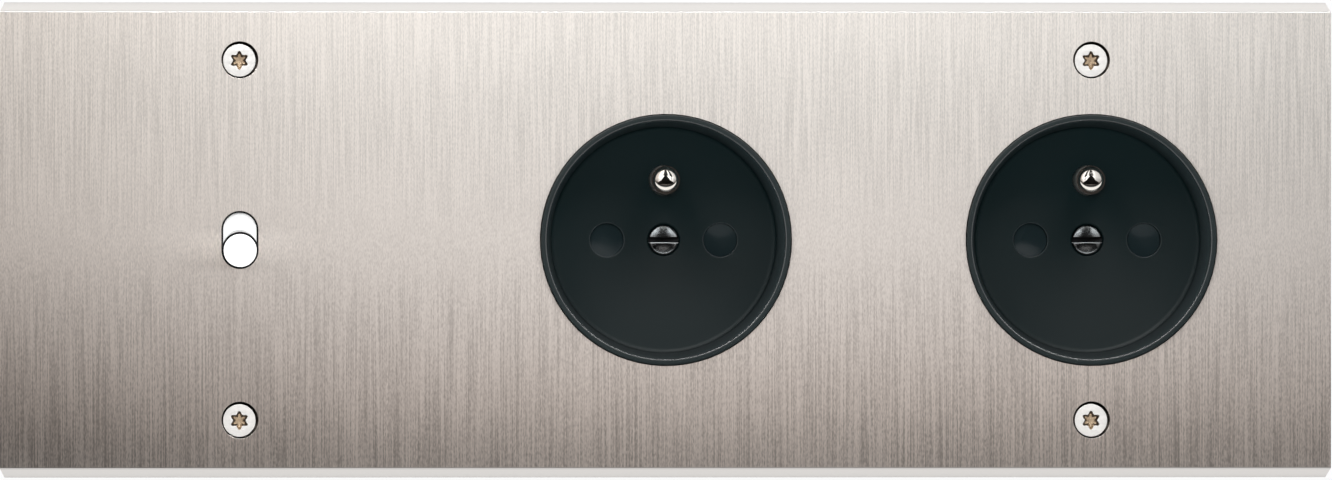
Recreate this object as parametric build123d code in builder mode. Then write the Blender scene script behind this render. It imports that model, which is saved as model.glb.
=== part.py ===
"""Three-module wall plate with one toggle lever switch and two pin-earth sockets, for flush wall boxes.

The frame is the part's own: +X to the right as seen from the room, +Z up, +Y into the wall.
The wall surface is the plane Y = 0, and the origin lies on it, behind the centre of the plate.
Every module has its centre on the line Z = 0. All sizes are in millimetres.
"""

import math
import os

from build123d import *

# ---------------------------------------------------------------- module grid and wall boxes
PITCH = 71.0  # centre to centre of neighbouring modules
END_MARGIN = 40.0  # outer module's centre to the end of the plate
BOX_SCREW_SPACING = 60.0  # upper to lower fixing screw
SWITCH_X = -PITCH
SOCKETS = {"centre_socket": 0.0, "right_socket": PITCH}
FIXED_MODULES = (-PITCH, PITCH)  # the modules that the plate screws stand over

# ---------------------------------------------------------------- clearances
GAP = 0.15  # a moulded piece in its opening
SEAT = 0.02  # a fitted piece in its pocket
RUN = 0.08  # a shaft in its bearing, on the radius
THREAD_GAP = 0.05  # a screw in its thread, on the radius
MOVE = 0.3  # a moving piece past a fixed one
CONE_ANGLE = 90  # of every countersunk head

# ---------------------------------------------------------------- faceplate
PLATE_DEPTH = 5.0  # wall surface to front face
FACE_H = 76.0  # flat front face, bottom to top
BEVEL_RISE = 1.6  # the plate is this much taller behind the bevel, at each long edge
BEVEL_DEPTH = 2.6
CORNER_CUT = 0.8  # taken off the length at the outer corners
FACE_T = 2.0
RIM_T = 1.9  # wall round the pocket at the back

# ---------------------------------------------------------------- plate screws
HEAD_R = 2.85
HEAD_EDGE = 0.35  # straight edge of the head, above its cone
HEAD_SUNK = 0.06  # head below the face
MOUTH_GAP = 0.23  # ring left open round the head
THREAD_R = 1.5
WAIST_R = 1.25  # captive waist through plate and frame
THREAD_START = 0.6  # beyond the wall surface
THREAD_END = 20.0
TIP_CHAMFER = 0.5
STAR_R = 1.4  # six-lobe drive, over the points
STAR_CORE = 0.78  # core circle, as a share of STAR_R
STAR_LOBE = 0.21  # radius of a lobe, as a share of STAR_R
STAR_DEPTH = 1.3
SCREW_HOLE_R = 1.8
SCREW_BOSS_R = 4.0

# ---------------------------------------------------------------- support frame
FRAME_T = 1.5
FRAME_MARGIN = 1.0  # frame inside the plate's rim
FRAME_LIP_T = 1.1
EAR_REACH = 28.0  # module's centre to its own fixing screws
EAR_W = 11.0
SMALL_SCREW_R = 1.25
SMALL_HEAD_R = 2.3
SMALL_SCREW_END = 3.0  # beyond the wall surface
SMALL_SLOT_W = 0.4
SMALL_SLOT_DEPTH = 0.35
FLANGE_GAP = 0.1  # back of the face to the flanges of the modules
FLANGE_RIM = 2.4  # flange outside its housing
TAB_W = 6.3  # earthing tab
TAB_T = 0.8
TAB_REACH = 11.0
TAB_GAP = 0.8  # switch's flange to the head of the rivet
RIVET_R = 1.5
RIVET_HEAD_R = 2.3
RIVET_HEAD_T = 0.7

# ---------------------------------------------------------------- levels along Y, front to back
Y_FACE = -PLATE_DEPTH
Y_POCKET = Y_FACE + FACE_T
Y_FLANGE = Y_POCKET + FLANGE_GAP
Y_FRAME = -FRAME_T

# ---------------------------------------------------------------- socket well
WELL_R = 20.85
LIP_PROUD = 0.9
LIP_W = 0.95  # outer edge to the mouth of the well
FLOOR_R = 18.9
WELL_DEPTH = 15.0
WELL_FLOOR_T = 2.5
FLOOR_FILLET = 0.7
LIP_FILLET = 0.4
PIN_SPACING = 19.0
PIN_HOLE_R = 2.8
EARTH_OFFSET = 10.0  # earth pin above the line through the contacts
EARTH_R = 2.4
EARTH_LENGTH = 14.0
EARTH_COLLAR_R = 2.7
CENTRE_HEAD_R = 2.6
CENTRE_HEAD_T = 1.4
CENTRE_SCREW_R = 1.75
CENTRE_SCREW_LENGTH = 9.0  # under the head
SLOT_W = 0.8
SLOT_DEPTH = 0.7
Y_CREST = Y_FACE - LIP_PROUD
Y_FLOOR = Y_CREST + WELL_DEPTH
Y_FLOOR_BACK = Y_FLOOR + WELL_FLOOR_T

# ---------------------------------------------------------------- rotary shutter
SHUTTER_TURN = 38.0  # degrees from shut to open
SHUTTER_R = 14.0
SHUTTER_T = 1.2
SHUTTER_WINDOW_R = 3.1
SHUTTER_MARGIN = 4.0  # degrees of web outside window and ramp
RAMP_H = 3.2
RAMP_HALF = 3.4
RAMP_CREST = 0.6
BOSS_R = 3.4
HUB_WALL = 1.9
COIL_WIRE_R = 0.28
COIL_TURNS = 3
COIL_PITCH = 0.75
COIL_GAP = 0.1  # end of the coil to the web of the shutter
Y_SHUTTER = Y_FLOOR_BACK + MOVE + RAMP_H
Y_SHUTTER_BACK = Y_SHUTTER + SHUTTER_T
HUB_R = BOSS_R + RUN + HUB_WALL

# ---------------------------------------------------------------- socket base
BASE_WALL = 1.55
SHELF_W = 3.2  # ledge behind the well
PARTITION_T = 1.4
CHAMBER_DEPTH = 13.0
BLOCK_W = 42.0
BLOCK_CORNER_R = 4.0
BLOCK_WALL = 1.6
POST_R = 2.2
POST_BITE = 0.6  # post sunk into the wall beside it
COVER_T = 2.0
COVER_SCREW_R = 1.1
COVER_SCREW_LENGTH = 6.0
COVER_HEAD_R = 1.9
COVER_HEAD_T = 1.1
BOSS_BACK = 3.6  # boss beyond the partition
BASE_R_IN = WELL_R + GAP
BASE_R = BASE_R_IN + BASE_WALL
Y_PARTITION = Y_SHUTTER_BACK + MOVE
Y_CHAMBER = Y_PARTITION + PARTITION_T
Y_COVER = Y_CHAMBER + CHAMBER_DEPTH
CHAMBER_W = BLOCK_W - 2 * BLOCK_WALL
POST_INSET = BLOCK_WALL + POST_R - POST_BITE

# ---------------------------------------------------------------- cage terminals
CAGE = 7.2  # outside, across the wire
CAGE_WALL = 0.9
CAGE_MARGIN = 0.4  # cage to the housing's wall
CLAMP_T = 0.8
CLAMP_OUT = 0.5  # clamp's inner face beyond the cage's centre
TERMINAL_SCREW_R = 1.45
TERMINAL_HEAD_R = 2.4
TERMINAL_HEAD_T = 1.5
RIB_T = 1.0
WIRE_HOLE_R = 2.1
CAGE_SETBACK = 2.0  # cage behind the front wall of the chamber
BRACKET_GAP = 0.8  # rocker support to the cages behind it
CAGE_HALF = CAGE / 2
CAGE_BORE = CAGE - 2 * CAGE_WALL
SOCKET_CAGE_Z = BLOCK_W / 2 - BLOCK_WALL - CAGE_MARGIN - CAGE_HALF

# ---------------------------------------------------------------- socket contacts
CONTACT_T = 0.8
CONTACT_W = 5.2
LEAF_GAP = 4.5
LEAF_LENGTH = 9.0
LEAF_OUT = 3.4  # hole's axis to the web that joins the leaves
STRAP_T = 1.0
STRAP_END = 1.0  # strap beyond the head of the rivet
BEND_R = 0.9

# ---------------------------------------------------------------- toggle lever
LEVER_TILT = 4.45  # degrees either side of straight out
LEVER_PROUD = 8.0
PIVOT_DEPTH = 14.5  # pivot behind the front face
TIP_R = 2.83
TIP_LENGTH = 5.0
TIP_EDGE = 0.35
TIP_BAND_T = 0.22
TIP_BAND_W = 0.9
TIP_BAND_SETBACK = 0.45
NECK_R = 2.55
SLOT_LINER_T = 0.25
SLOT_W_IN = 5.6
SLOT_H_IN = 9.1
GUIDE_FLANGE_T = 0.5
GUIDE_FLANGE_W = 1.8
LINER_PROUD = 0.05
SHIELD_T = 1.0
SHIELD_HALF_ANGLE = 30.0
SHIELD_HALF_W = 4.2
PIVOT_R = 1.0
LEVER_HUB_R = 3.0
TAIL_HALF = 2.5
TAIL_LENGTH = 7.8
PLUNGER_R = 1.4
PLUNGER_REACH = 9.5  # pivot to the plunger's tip
PLUNGER_LENGTH = 5.0
PLUNGER_BORE_START = 1.9  # bottom of the bore, from the pivot
PLUNGER_SPRING_R = 0.95
PLUNGER_WIRE_R = 0.2
PLUNGER_SPRING_TURNS = 3
Y_PIVOT = Y_FACE + PIVOT_DEPTH
LEVER_LENGTH = PIVOT_DEPTH + LEVER_PROUD
SHIELD_R = Y_PIVOT - (Y_POCKET + GUIDE_FLANGE_T + MOVE)

# ---------------------------------------------------------------- switch body and contacts
SWITCH_W = 27.0
SWITCH_H = 45.0
SWITCH_WALL = 1.6
SWITCH_CORNER_R = 1.5
WINDOW_HALF_W = 5.5
WINDOW_HALF_H = 7.1
CHEEK_T = 2.0
CHEEK_HALF_H = 4.0
CHEEK_BACK = 3.0  # cheek beyond the pivot
SWITCH_DEPTH = 33.0  # wall surface to the cover
ROCKER_TILT = 6.5  # degrees either side of square
ROCKER_T = 1.0
ROCKER_HALF_W = 3.2
ROCKER_HALF_H = 9.4
ROCKER_PIVOT_R = 0.7
ROCKER_PIVOT_BEHIND = 2.8  # pivot behind the rocker's front
KNUCKLE_R = 1.5
KNUCKLE_HALF_W = 1.6
PAD_R = 1.3
PAD_T = 0.6
PAD_Z = 8.0
PAD_GAP = 0.05
FIXED_T = 1.0
FIXED_OVERLAP = 1.9  # strip inside the pad's centre
BRACKET_T = 0.8
BRACKET_HALF_H = 2.4
EAR_HALF_H = 1.5
EAR_FRONT = 1.3
Y_ROCKER_PIVOT = Y_PIVOT + PLUNGER_REACH + PAD_GAP + ROCKER_PIVOT_BEHIND
Y_BRACKET = Y_ROCKER_PIVOT + KNUCKLE_R + MOVE
Y_SWITCH_CAGE = Y_BRACKET + BRACKET_T + BRACKET_GAP
SWITCH_CAGE_Z = SWITCH_H / 2 - SWITCH_WALL - CAGE_MARGIN - CAGE_HALF
SWITCH_CAGE_X = SWITCH_W / 2 - SWITCH_WALL - CAGE_MARGIN - CAGE_HALF
PLATE_W = 2 * PITCH + 2 * END_MARGIN
PLATE_H = FACE_H + 2 * BEVEL_RISE
TAB_X = SWITCH_X + SWITCH_W / 2 + FLANGE_RIM + TAB_GAP + RIVET_HEAD_R
TAB_FOOT_Z = -SWITCH_H / 2
TAB_Z = TAB_FOOT_Z + TAB_W + 2 * TAB_T
RIVET_Z = TAB_Z - TAB_T - TAB_W / 2

os.makedirs("parts", exist_ok=True)


def at(y, x=0.0, z=0.0):
    """Plane across Y, seen from the room: its x is +X, its y is +Z, and it faces the room."""
    return Plane(origin=(x, y, z), x_dir=(1, 0, 0), z_dir=(0, -1, 0))


def side(x):
    """Plane across X: its x is +Y and its y is +Z."""
    return Plane.YZ.offset(x)


def grid_of(half_x, half_z):
    """Four points, one in each quarter."""
    return [(sx * half_x, sz * half_z) for sx in (-1, 1) for sz in (-1, 1)]


def sector(r_in, r_out, start, size):
    """Face of a ring between two radii over an angle, in degrees."""
    with BuildLine() as outline:
        outer = CenterArc((0, 0), r_out, start, size)
        inner = CenterArc((0, 0), r_in, start, size)
        Line(outer @ 0, inner @ 0)
        Line(outer @ 1, inner @ 1)
    make_face(outline.edges())


def bent_strip(x, width, points, thickness, bend=BEND_R):
    """Sheet strip that follows a line of (Y, Z) points at its middle, centred on x."""
    with BuildSketch(side(x - width / 2)) as profile:
        with BuildLine():
            FilletPolyline(*points, radius=bend)
        trace(line_width=thickness)
    extrude(profile.sketch, amount=width, dir=(1, 0, 0))


def screw(plane, head_r, head_t, shank_r, length):
    """Slotted cylinder-head screw: the head stands out of the plane and the shank goes in behind it."""
    out = plane.z_dir
    with BuildSketch(plane) as head:
        Circle(head_r)
    extrude(head.sketch, amount=head_t, dir=out)
    with BuildSketch(plane) as shank:
        Circle(shank_r)
    extrude(shank.sketch, amount=-length, dir=out)
    with BuildSketch(plane.offset(head_t)) as slot:
        Rectangle(2 * head_r, SLOT_W)
    extrude(slot.sketch, amount=-SLOT_DEPTH, dir=out, mode=Mode.SUBTRACT)


def save(builder, name):
    """Label a finished piece and write its STEP file."""
    builder.part.label = name
    export_step(builder.part, f"parts/{name}.step")


# ================================================================ plate, frame and their screws
BOX_SCREWS = [(x, z) for x in FIXED_MODULES for z in (-BOX_SCREW_SPACING / 2, BOX_SCREW_SPACING / 2)]
CONE_START = HEAD_SUNK + HEAD_EDGE - MOUTH_GAP  # below the face
LEVER_OPENING = (SLOT_H_IN + 2 * (SLOT_LINER_T + SEAT), SLOT_W_IN + 2 * (SLOT_LINER_T + SEAT))

with BuildPart() as faceplate:
    with BuildSketch(side(-PLATE_W / 2)):
        with BuildLine():
            Polyline(
                (Y_FACE, -FACE_H / 2),
                (Y_FACE, FACE_H / 2),
                (Y_FACE + BEVEL_DEPTH, PLATE_H / 2),
                (0, PLATE_H / 2),
                (0, -PLATE_H / 2),
                (Y_FACE + BEVEL_DEPTH, -PLATE_H / 2),
                close=True,
            )
        make_face()
    extrude(amount=PLATE_W)
    with BuildSketch(at(0)):
        Rectangle(PLATE_W, FACE_H)
        with BuildLine():
            Polyline(
                (-PLATE_W / 2, FACE_H / 2),
                (-PLATE_W / 2 + CORNER_CUT, PLATE_H / 2),
                (PLATE_W / 2 - CORNER_CUT, PLATE_H / 2),
                (PLATE_W / 2, FACE_H / 2),
                close=True,
            )
        make_face()
        mirror(about=Plane.XZ)
    extrude(amount=PLATE_DEPTH, mode=Mode.INTERSECT)
    with BuildSketch(at(0)):
        Rectangle(PLATE_W - 2 * RIM_T, PLATE_H - 2 * RIM_T)
    extrude(amount=-Y_POCKET, mode=Mode.SUBTRACT)
    with BuildSketch(at(Y_FRAME)):
        with Locations(*BOX_SCREWS):
            Circle(SCREW_BOSS_R)
    extrude(amount=Y_FRAME - Y_POCKET)
    with BuildSketch(at(0)):
        with Locations(*[(x, 0) for x in SOCKETS.values()]):
            Circle(WELL_R + GAP)
        with Locations((SWITCH_X, 0)):
            SlotOverall(*LEVER_OPENING, rotation=90)
    extrude(amount=PLATE_DEPTH, mode=Mode.SUBTRACT)
    with Locations(*[at(Y_FACE + CONE_START, x, z) for x, z in BOX_SCREWS]):
        CounterSinkHole(SCREW_HOLE_R, HEAD_R + MOUTH_GAP, counter_sink_angle=CONE_ANGLE)
    with Locations(*[at(Y_FACE, x, z) for x, z in BOX_SCREWS]):
        CounterBoreHole(SCREW_HOLE_R, HEAD_R + MOUTH_GAP, CONE_START)
save(faceplate, "faceplate")

FRAME_W = PLATE_W - 2 * (RIM_T + FRAME_MARGIN)
FRAME_H = PLATE_H - 2 * (RIM_T + FRAME_MARGIN)
EAR_SCREWS = [(x + s * EAR_REACH, 0) for x in (SWITCH_X, *SOCKETS.values()) for s in (-1, 1)]

with BuildPart() as support_frame:
    with BuildSketch(at(0)):
        Rectangle(FRAME_W, FRAME_H)
        with Locations(*[(x, 0) for x in SOCKETS.values()]):
            Circle(BASE_R + GAP, mode=Mode.SUBTRACT)
        with Locations((SWITCH_X, 0)):
            Rectangle(SWITCH_W + 2 * GAP, SWITCH_H + 2 * GAP, mode=Mode.SUBTRACT)
        with Locations(*BOX_SCREWS):
            Circle(SCREW_HOLE_R, mode=Mode.SUBTRACT)
        with Locations(*EAR_SCREWS):
            Circle(SMALL_SCREW_R + THREAD_GAP, mode=Mode.SUBTRACT)
        with Locations((TAB_X, RIVET_Z)):
            Circle(RIVET_R + SEAT, mode=Mode.SUBTRACT)
    extrude(amount=FRAME_T)
    with BuildSketch(at(Y_FRAME)):
        with Locations((0, (FRAME_H - FRAME_LIP_T) / 2), (0, -(FRAME_H - FRAME_LIP_T) / 2)):
            Rectangle(FRAME_W, FRAME_LIP_T)
    extrude(amount=Y_FRAME - Y_FLANGE)
save(support_frame, "support_frame")

with BuildPart() as faceplate_screws:
    head_y = Y_FACE + HEAD_SUNK
    for x, z in BOX_SCREWS:
        with BuildSketch(Plane(origin=(x, 0, z), x_dir=(1, 0, 0), z_dir=(0, 0, 1))):
            with BuildLine():
                cone = HEAD_R - WAIST_R
                Polyline(
                    (0, head_y),
                    (HEAD_R, head_y),
                    (HEAD_R, head_y + HEAD_EDGE),
                    (WAIST_R, head_y + HEAD_EDGE + cone),
                    (WAIST_R, THREAD_START),
                    (THREAD_R, THREAD_START),
                    (THREAD_R, THREAD_END - TIP_CHAMFER),
                    (THREAD_R - TIP_CHAMFER, THREAD_END),
                    (0, THREAD_END),
                    close=True,
                )
            make_face()
        revolve(axis=Axis((x, 0, z), (0, 1, 0)))
    with BuildSketch(at(head_y)):
        with Locations(*BOX_SCREWS):
            Circle(STAR_R * STAR_CORE)
            with PolarLocations(STAR_R * (1 - STAR_LOBE), 6, start_angle=90):
                Circle(STAR_R * STAR_LOBE)
    extrude(amount=-STAR_DEPTH, mode=Mode.SUBTRACT)
save(faceplate_screws, "faceplate_screws")

with BuildPart() as module_screws:
    cone = SMALL_HEAD_R - SMALL_SCREW_R
    for x, z in EAR_SCREWS:
        with BuildSketch(Plane(origin=(x, 0, z), x_dir=(1, 0, 0), z_dir=(0, 0, 1))):
            with BuildLine():
                Polyline(
                    (0, Y_FLANGE),
                    (SMALL_HEAD_R, Y_FLANGE),
                    (SMALL_SCREW_R, Y_FLANGE + cone),
                    (SMALL_SCREW_R, SMALL_SCREW_END),
                    (0, SMALL_SCREW_END),
                    close=True,
                )
            make_face()
        revolve(axis=Axis((x, 0, z), (0, 1, 0)))
    with BuildSketch(at(Y_FLANGE)):
        with Locations(*EAR_SCREWS):
            Rectangle(2 * SMALL_HEAD_R, SMALL_SLOT_W)
    extrude(amount=-SMALL_SLOT_DEPTH, mode=Mode.SUBTRACT)
save(module_screws, "module_screws")

with BuildPart() as earth_tab:
    bent_strip(TAB_X, TAB_W, [(TAB_T / 2, TAB_FOOT_Z), (TAB_T / 2, TAB_Z), (TAB_REACH, TAB_Z)], TAB_T)
    with BuildSketch(at(0, TAB_X, RIVET_Z)):
        Circle(RIVET_R + SEAT)
    extrude(amount=-TAB_T, mode=Mode.SUBTRACT)
save(earth_tab, "earth_tab")

with BuildPart() as earth_tab_rivet:
    with BuildSketch(at(TAB_T, TAB_X, RIVET_Z)):
        Circle(RIVET_R)
    extrude(amount=TAB_T + FRAME_T)
    with BuildSketch(at(TAB_T + RIVET_HEAD_T, TAB_X, RIVET_Z), at(Y_FRAME, TAB_X, RIVET_Z)):
        Circle(RIVET_HEAD_R)
    extrude(amount=RIVET_HEAD_T)
save(earth_tab_rivet, "earth_tab_rivet")


# ================================================================ cage terminals
class Terminal:
    """Place of one cage: its plane's normal points out along the screw, and the wire enters along Y."""

    def __init__(self, x, z, out, y_front, y_back):
        self.x, self.z, self.out = x, z, out
        self.y_front, self.y_back = y_front, y_back
        self.length = y_back - y_front
        across = Vector(0, 1, 0).cross(Vector(*out))
        self.plane = Plane(origin=(x, (y_front + y_back) / 2, z), x_dir=across, z_dir=out)


def make_cages(terminals, name):
    """Square brass cages, each with a threaded hole for its screw."""
    with BuildPart() as cages:
        for t in terminals:
            with Locations(t.plane):
                Box(CAGE, t.length, CAGE)
                Box(CAGE_BORE, t.length, CAGE_BORE, mode=Mode.SUBTRACT)
            with BuildSketch(t.plane.offset(CAGE_HALF)):
                Circle(TERMINAL_SCREW_R + THREAD_GAP)
            extrude(amount=-CAGE_WALL, mode=Mode.SUBTRACT)
    save(cages, name)


def make_clamps(terminals, name):
    """Plates that the terminal screws press onto the wire."""
    with BuildPart() as clamps:
        for t in terminals:
            with BuildSketch(t.plane.offset(CLAMP_OUT)):
                Rectangle(CAGE_BORE - 2 * GAP, t.length - 2 * CAGE_WALL)
            extrude(amount=CLAMP_T)
    save(clamps, name)


def make_terminal_screws(terminals, name):
    """Slotted screws through the outer wall of each cage, down to its clamp."""
    with BuildPart() as screws:
        seat = CAGE_HALF + THREAD_GAP
        reach = seat - CLAMP_OUT - CLAMP_T
        for t in terminals:
            screw(t.plane.offset(seat), TERMINAL_HEAD_R, TERMINAL_HEAD_T, TERMINAL_SCREW_R, reach)
    save(screws, name)


def cage_ribs(terminals):
    """Ribs on both sides of each cage, from the wall of the housing."""
    for t in terminals:
        offset = CAGE_HALF + GAP + RIB_T / 2
        with BuildSketch(t.plane.offset(-CAGE_HALF)) as ribs:
            with Locations((-offset, 0), (offset, 0)):
                Rectangle(RIB_T, t.length)
        extrude(ribs.sketch, amount=CAGE + CAGE_MARGIN, dir=t.plane.z_dir)


def screw_access(terminals):
    """Round openings in the housing's wall over the heads of the terminal screws."""
    for t in terminals:
        with BuildSketch(t.plane.offset(CAGE_HALF)) as opening:
            Circle(TERMINAL_HEAD_R + MOVE)
        extrude(opening.sketch, amount=CAGE_HALF, dir=t.plane.z_dir, mode=Mode.SUBTRACT)


def make_cover(name, x, y, width, height, corner_r, terminals, pillars=()):
    """Back cover with wire holes, four counterbored screw holes and pillars behind the contacts."""
    screws = grid_of(width / 2 - POST_INSET, height / 2 - POST_INSET)
    with BuildPart() as cover:
        with BuildSketch(at(y + COVER_T, x)):
            RectangleRounded(width, height, corner_r)
        extrude(amount=COVER_T)
        for px, pz, pw, ph, y_front in pillars:
            with BuildSketch(at(y, px, pz)):
                Rectangle(pw, ph)
            extrude(amount=y - y_front)
        with BuildSketch(at(y + COVER_T)):
            for t in terminals:
                with Locations((t.x, t.z)):
                    Circle(WIRE_HOLE_R)
        extrude(amount=COVER_T, mode=Mode.SUBTRACT)
        with Locations(*[at(y + COVER_T, x + u, w) for u, w in screws]):
            Cylinder(COVER_SCREW_R + GAP, 2 * COVER_T, mode=Mode.SUBTRACT)
            Cylinder(COVER_HEAD_R + GAP, 2 * COVER_HEAD_T, mode=Mode.SUBTRACT)
    save(cover, name)
    with BuildPart() as cover_screws:
        for u, w in screws:
            face = Plane(origin=(x + u, y + COVER_T - COVER_HEAD_T, w), x_dir=(1, 0, 0), z_dir=(0, 1, 0))
            screw(face, COVER_HEAD_R, COVER_HEAD_T, COVER_SCREW_R, COVER_SCREW_LENGTH)
    save(cover_screws, f"{name}_screws")


def cover_posts(x, y_front, y_back, width, height):
    """Corner posts for the screws of the back cover, with their holes."""
    points = grid_of(width / 2 - POST_INSET, height / 2 - POST_INSET)
    with BuildSketch(at(y_back, x)) as posts:
        with Locations(*points):
            Circle(POST_R)
    extrude(posts.sketch, amount=y_back - y_front, dir=(0, -1, 0))
    with BuildSketch(at(y_back, x)) as holes:
        with Locations(*points):
            Circle(COVER_SCREW_R + THREAD_GAP)
    extrude(holes.sketch, amount=COVER_SCREW_LENGTH, dir=(0, -1, 0), mode=Mode.SUBTRACT)


# ================================================================ mounting straps
def socket_outline(margin, mode=Mode.ADD):
    """Outline of a socket's housing at the wall, widened by a margin."""
    Circle(BASE_R + margin, mode=mode)


def switch_outline(margin, mode=Mode.ADD):
    """Outline of the switch's housing at the wall, widened by a margin."""
    width, height = SWITCH_W + 2 * margin, SWITCH_H + 2 * margin
    RectangleRounded(width, height, SWITCH_CORNER_R + margin, mode=mode)


def make_strap(x, name, outline):
    """Steel strap pressed onto a housing: a flange round it, and two ears with countersunk holes."""
    with BuildPart() as strap:
        with BuildSketch(at(Y_FRAME, x)):
            outline(FLANGE_RIM)
            SlotOverall(2 * EAR_REACH + EAR_W, EAR_W)
            outline(SEAT, mode=Mode.SUBTRACT)
        extrude(amount=Y_FRAME - Y_FLANGE)
        with Locations(*[at(Y_FLANGE, x + s * EAR_REACH) for s in (-1, 1)]):
            CounterSinkHole(SMALL_SCREW_R + GAP, SMALL_HEAD_R + SEAT, counter_sink_angle=CONE_ANGLE)
    save(strap, name)


# ================================================================ sockets
def make_well(x, name):
    """Round cup with a raised lip, contact holes, and seats for the earth pin and the centre screw."""
    mouth_r = WELL_R - LIP_W
    with BuildPart() as well:
        with BuildSketch(Plane(origin=(x, 0, 0), x_dir=(1, 0, 0), z_dir=(0, 0, 1))) as profile:
            with BuildLine():
                Polyline(
                    (0, Y_FLOOR),
                    (FLOOR_R, Y_FLOOR),
                    (mouth_r, Y_FACE),
                    (mouth_r, Y_CREST),
                    (WELL_R, Y_CREST),
                    (WELL_R, Y_FLOOR_BACK),
                    (0, Y_FLOOR_BACK),
                    close=True,
                )
            make_face()
            corners = profile.vertices()
            fillet([v for v in corners if abs(v.Y - Y_CREST) < SEAT], LIP_FILLET)
            fillet([v for v in corners if abs(v.X - x - FLOOR_R) < SEAT], FLOOR_FILLET)
        revolve(axis=Axis((x, 0, 0), (0, 1, 0)))
        with BuildSketch(at(Y_FLOOR_BACK, x)):
            with Locations((-PIN_SPACING / 2, 0), (PIN_SPACING / 2, 0)):
                Circle(PIN_HOLE_R)
            with Locations((0, EARTH_OFFSET)):
                Circle(EARTH_COLLAR_R + SEAT)
            Circle(CENTRE_SCREW_R + GAP)
        extrude(amount=WELL_FLOOR_T, mode=Mode.SUBTRACT)
        with BuildSketch(at(Y_FLOOR + CENTRE_HEAD_T + HEAD_SUNK, x)):
            Circle(CENTRE_HEAD_R + GAP)
        extrude(amount=CENTRE_HEAD_T + HEAD_SUNK, mode=Mode.SUBTRACT)
    save(well, name)


def socket_terminals(x):
    """Line, neutral and earth cages of one socket."""
    y_front, y_back = Y_CHAMBER + CAGE_SETBACK, Y_COVER - SEAT
    below, above = (0, 0, -1), (0, 0, 1)
    return [
        Terminal(x - PIN_SPACING / 2, -SOCKET_CAGE_Z, below, y_front, y_back),
        Terminal(x + PIN_SPACING / 2, -SOCKET_CAGE_Z, below, y_front, y_back),
        Terminal(x, SOCKET_CAGE_Z, above, y_front, y_back),
    ]


def make_socket_base(x, name, terminals):
    """Round housing with the contact block behind it."""
    with BuildPart() as base:
        with BuildSketch(at(Y_CHAMBER, x)):
            Circle(BASE_R)
        extrude(amount=Y_CHAMBER - Y_FLANGE)
        with BuildSketch(at(Y_COVER, x)):
            RectangleRounded(BLOCK_W, BLOCK_W, BLOCK_CORNER_R)
        extrude(amount=Y_COVER - Y_PARTITION)
        with BuildSketch(at(Y_FLOOR_BACK, x)):
            Circle(BASE_R_IN)
        extrude(amount=Y_FLOOR_BACK - Y_FLANGE, mode=Mode.SUBTRACT)
        with BuildSketch(at(Y_PARTITION, x)):
            Circle(WELL_R - SHELF_W)
        extrude(amount=Y_PARTITION - Y_FLOOR_BACK, mode=Mode.SUBTRACT)
        with BuildSketch(at(Y_COVER, x)):
            RectangleRounded(CHAMBER_W, CHAMBER_W, BLOCK_CORNER_R - BLOCK_WALL)
        extrude(amount=CHAMBER_DEPTH, mode=Mode.SUBTRACT)
        with BuildSketch(at(Y_CHAMBER + BOSS_BACK, x)):
            Circle(BOSS_R)
        extrude(amount=Y_CHAMBER + BOSS_BACK - Y_FLOOR_BACK)
        cage_ribs(terminals)
        cover_posts(x, Y_CHAMBER, Y_COVER, BLOCK_W, BLOCK_W)
        with BuildSketch(at(Y_CHAMBER + BOSS_BACK, x)):
            Circle(CENTRE_SCREW_R + THREAD_GAP)
        extrude(amount=Y_CHAMBER + BOSS_BACK - Y_FLOOR_BACK, mode=Mode.SUBTRACT)
        with BuildSketch(at(Y_CHAMBER, x)):
            with Locations((-PIN_SPACING / 2, 0), (PIN_SPACING / 2, 0)):
                Circle(PIN_HOLE_R + MOVE)
            with Locations((0, EARTH_OFFSET)):
                Circle(EARTH_COLLAR_R + SEAT)
        extrude(amount=PARTITION_T, mode=Mode.SUBTRACT)
        screw_access(terminals)
    save(base, name)


def make_earth_pin(x, name):
    """Earth pin with a round tip, a collar from floor to partition, and a riveted tail."""
    tip_y = Y_FLOOR - EARTH_LENGTH
    with BuildPart() as pin:
        with BuildSketch(at(Y_FLOOR, x, EARTH_OFFSET)):
            Circle(EARTH_R)
        extrude(amount=EARTH_LENGTH - EARTH_R)
        with Locations((x, tip_y + EARTH_R, EARTH_OFFSET)):
            Sphere(EARTH_R)
        with BuildSketch(at(Y_CHAMBER, x, EARTH_OFFSET)):
            Circle(EARTH_COLLAR_R)
        extrude(amount=Y_CHAMBER - Y_FLOOR)
        with BuildSketch(at(Y_CHAMBER + STRAP_T, x, EARTH_OFFSET)):
            Circle(RIVET_R)
        extrude(amount=STRAP_T)
        with BuildSketch(at(Y_CHAMBER + STRAP_T + RIVET_HEAD_T, x, EARTH_OFFSET)):
            Circle(RIVET_HEAD_R)
        extrude(amount=RIVET_HEAD_T)
    save(pin, name)


def make_earth_strap(x, name, terminal):
    """Bent strip from the tail of the earth pin into its cage."""
    foot_z = SOCKET_CAGE_Z - CAGE_HALF + CAGE_WALL + SEAT + STRAP_T / 2
    y = Y_CHAMBER + STRAP_T / 2
    with BuildPart() as strap:
        end_z = EARTH_OFFSET - RIVET_HEAD_R - STRAP_END
        points = [(y, end_z), (y, foot_z), (terminal.y_back - STRAP_T, foot_z)]
        bent_strip(x, CONTACT_W, points, STRAP_T)
        with BuildSketch(at(Y_CHAMBER + STRAP_T + RIVET_HEAD_T + MOVE, x, EARTH_OFFSET)):
            Circle(RIVET_HEAD_R + MOVE)
        extrude(amount=RIVET_HEAD_T + MOVE, mode=Mode.SUBTRACT)
        with BuildSketch(at(Y_CHAMBER + STRAP_T, x, EARTH_OFFSET)):
            Circle(RIVET_R + SEAT)
        extrude(amount=STRAP_T, mode=Mode.SUBTRACT)
    save(strap, name)


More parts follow.
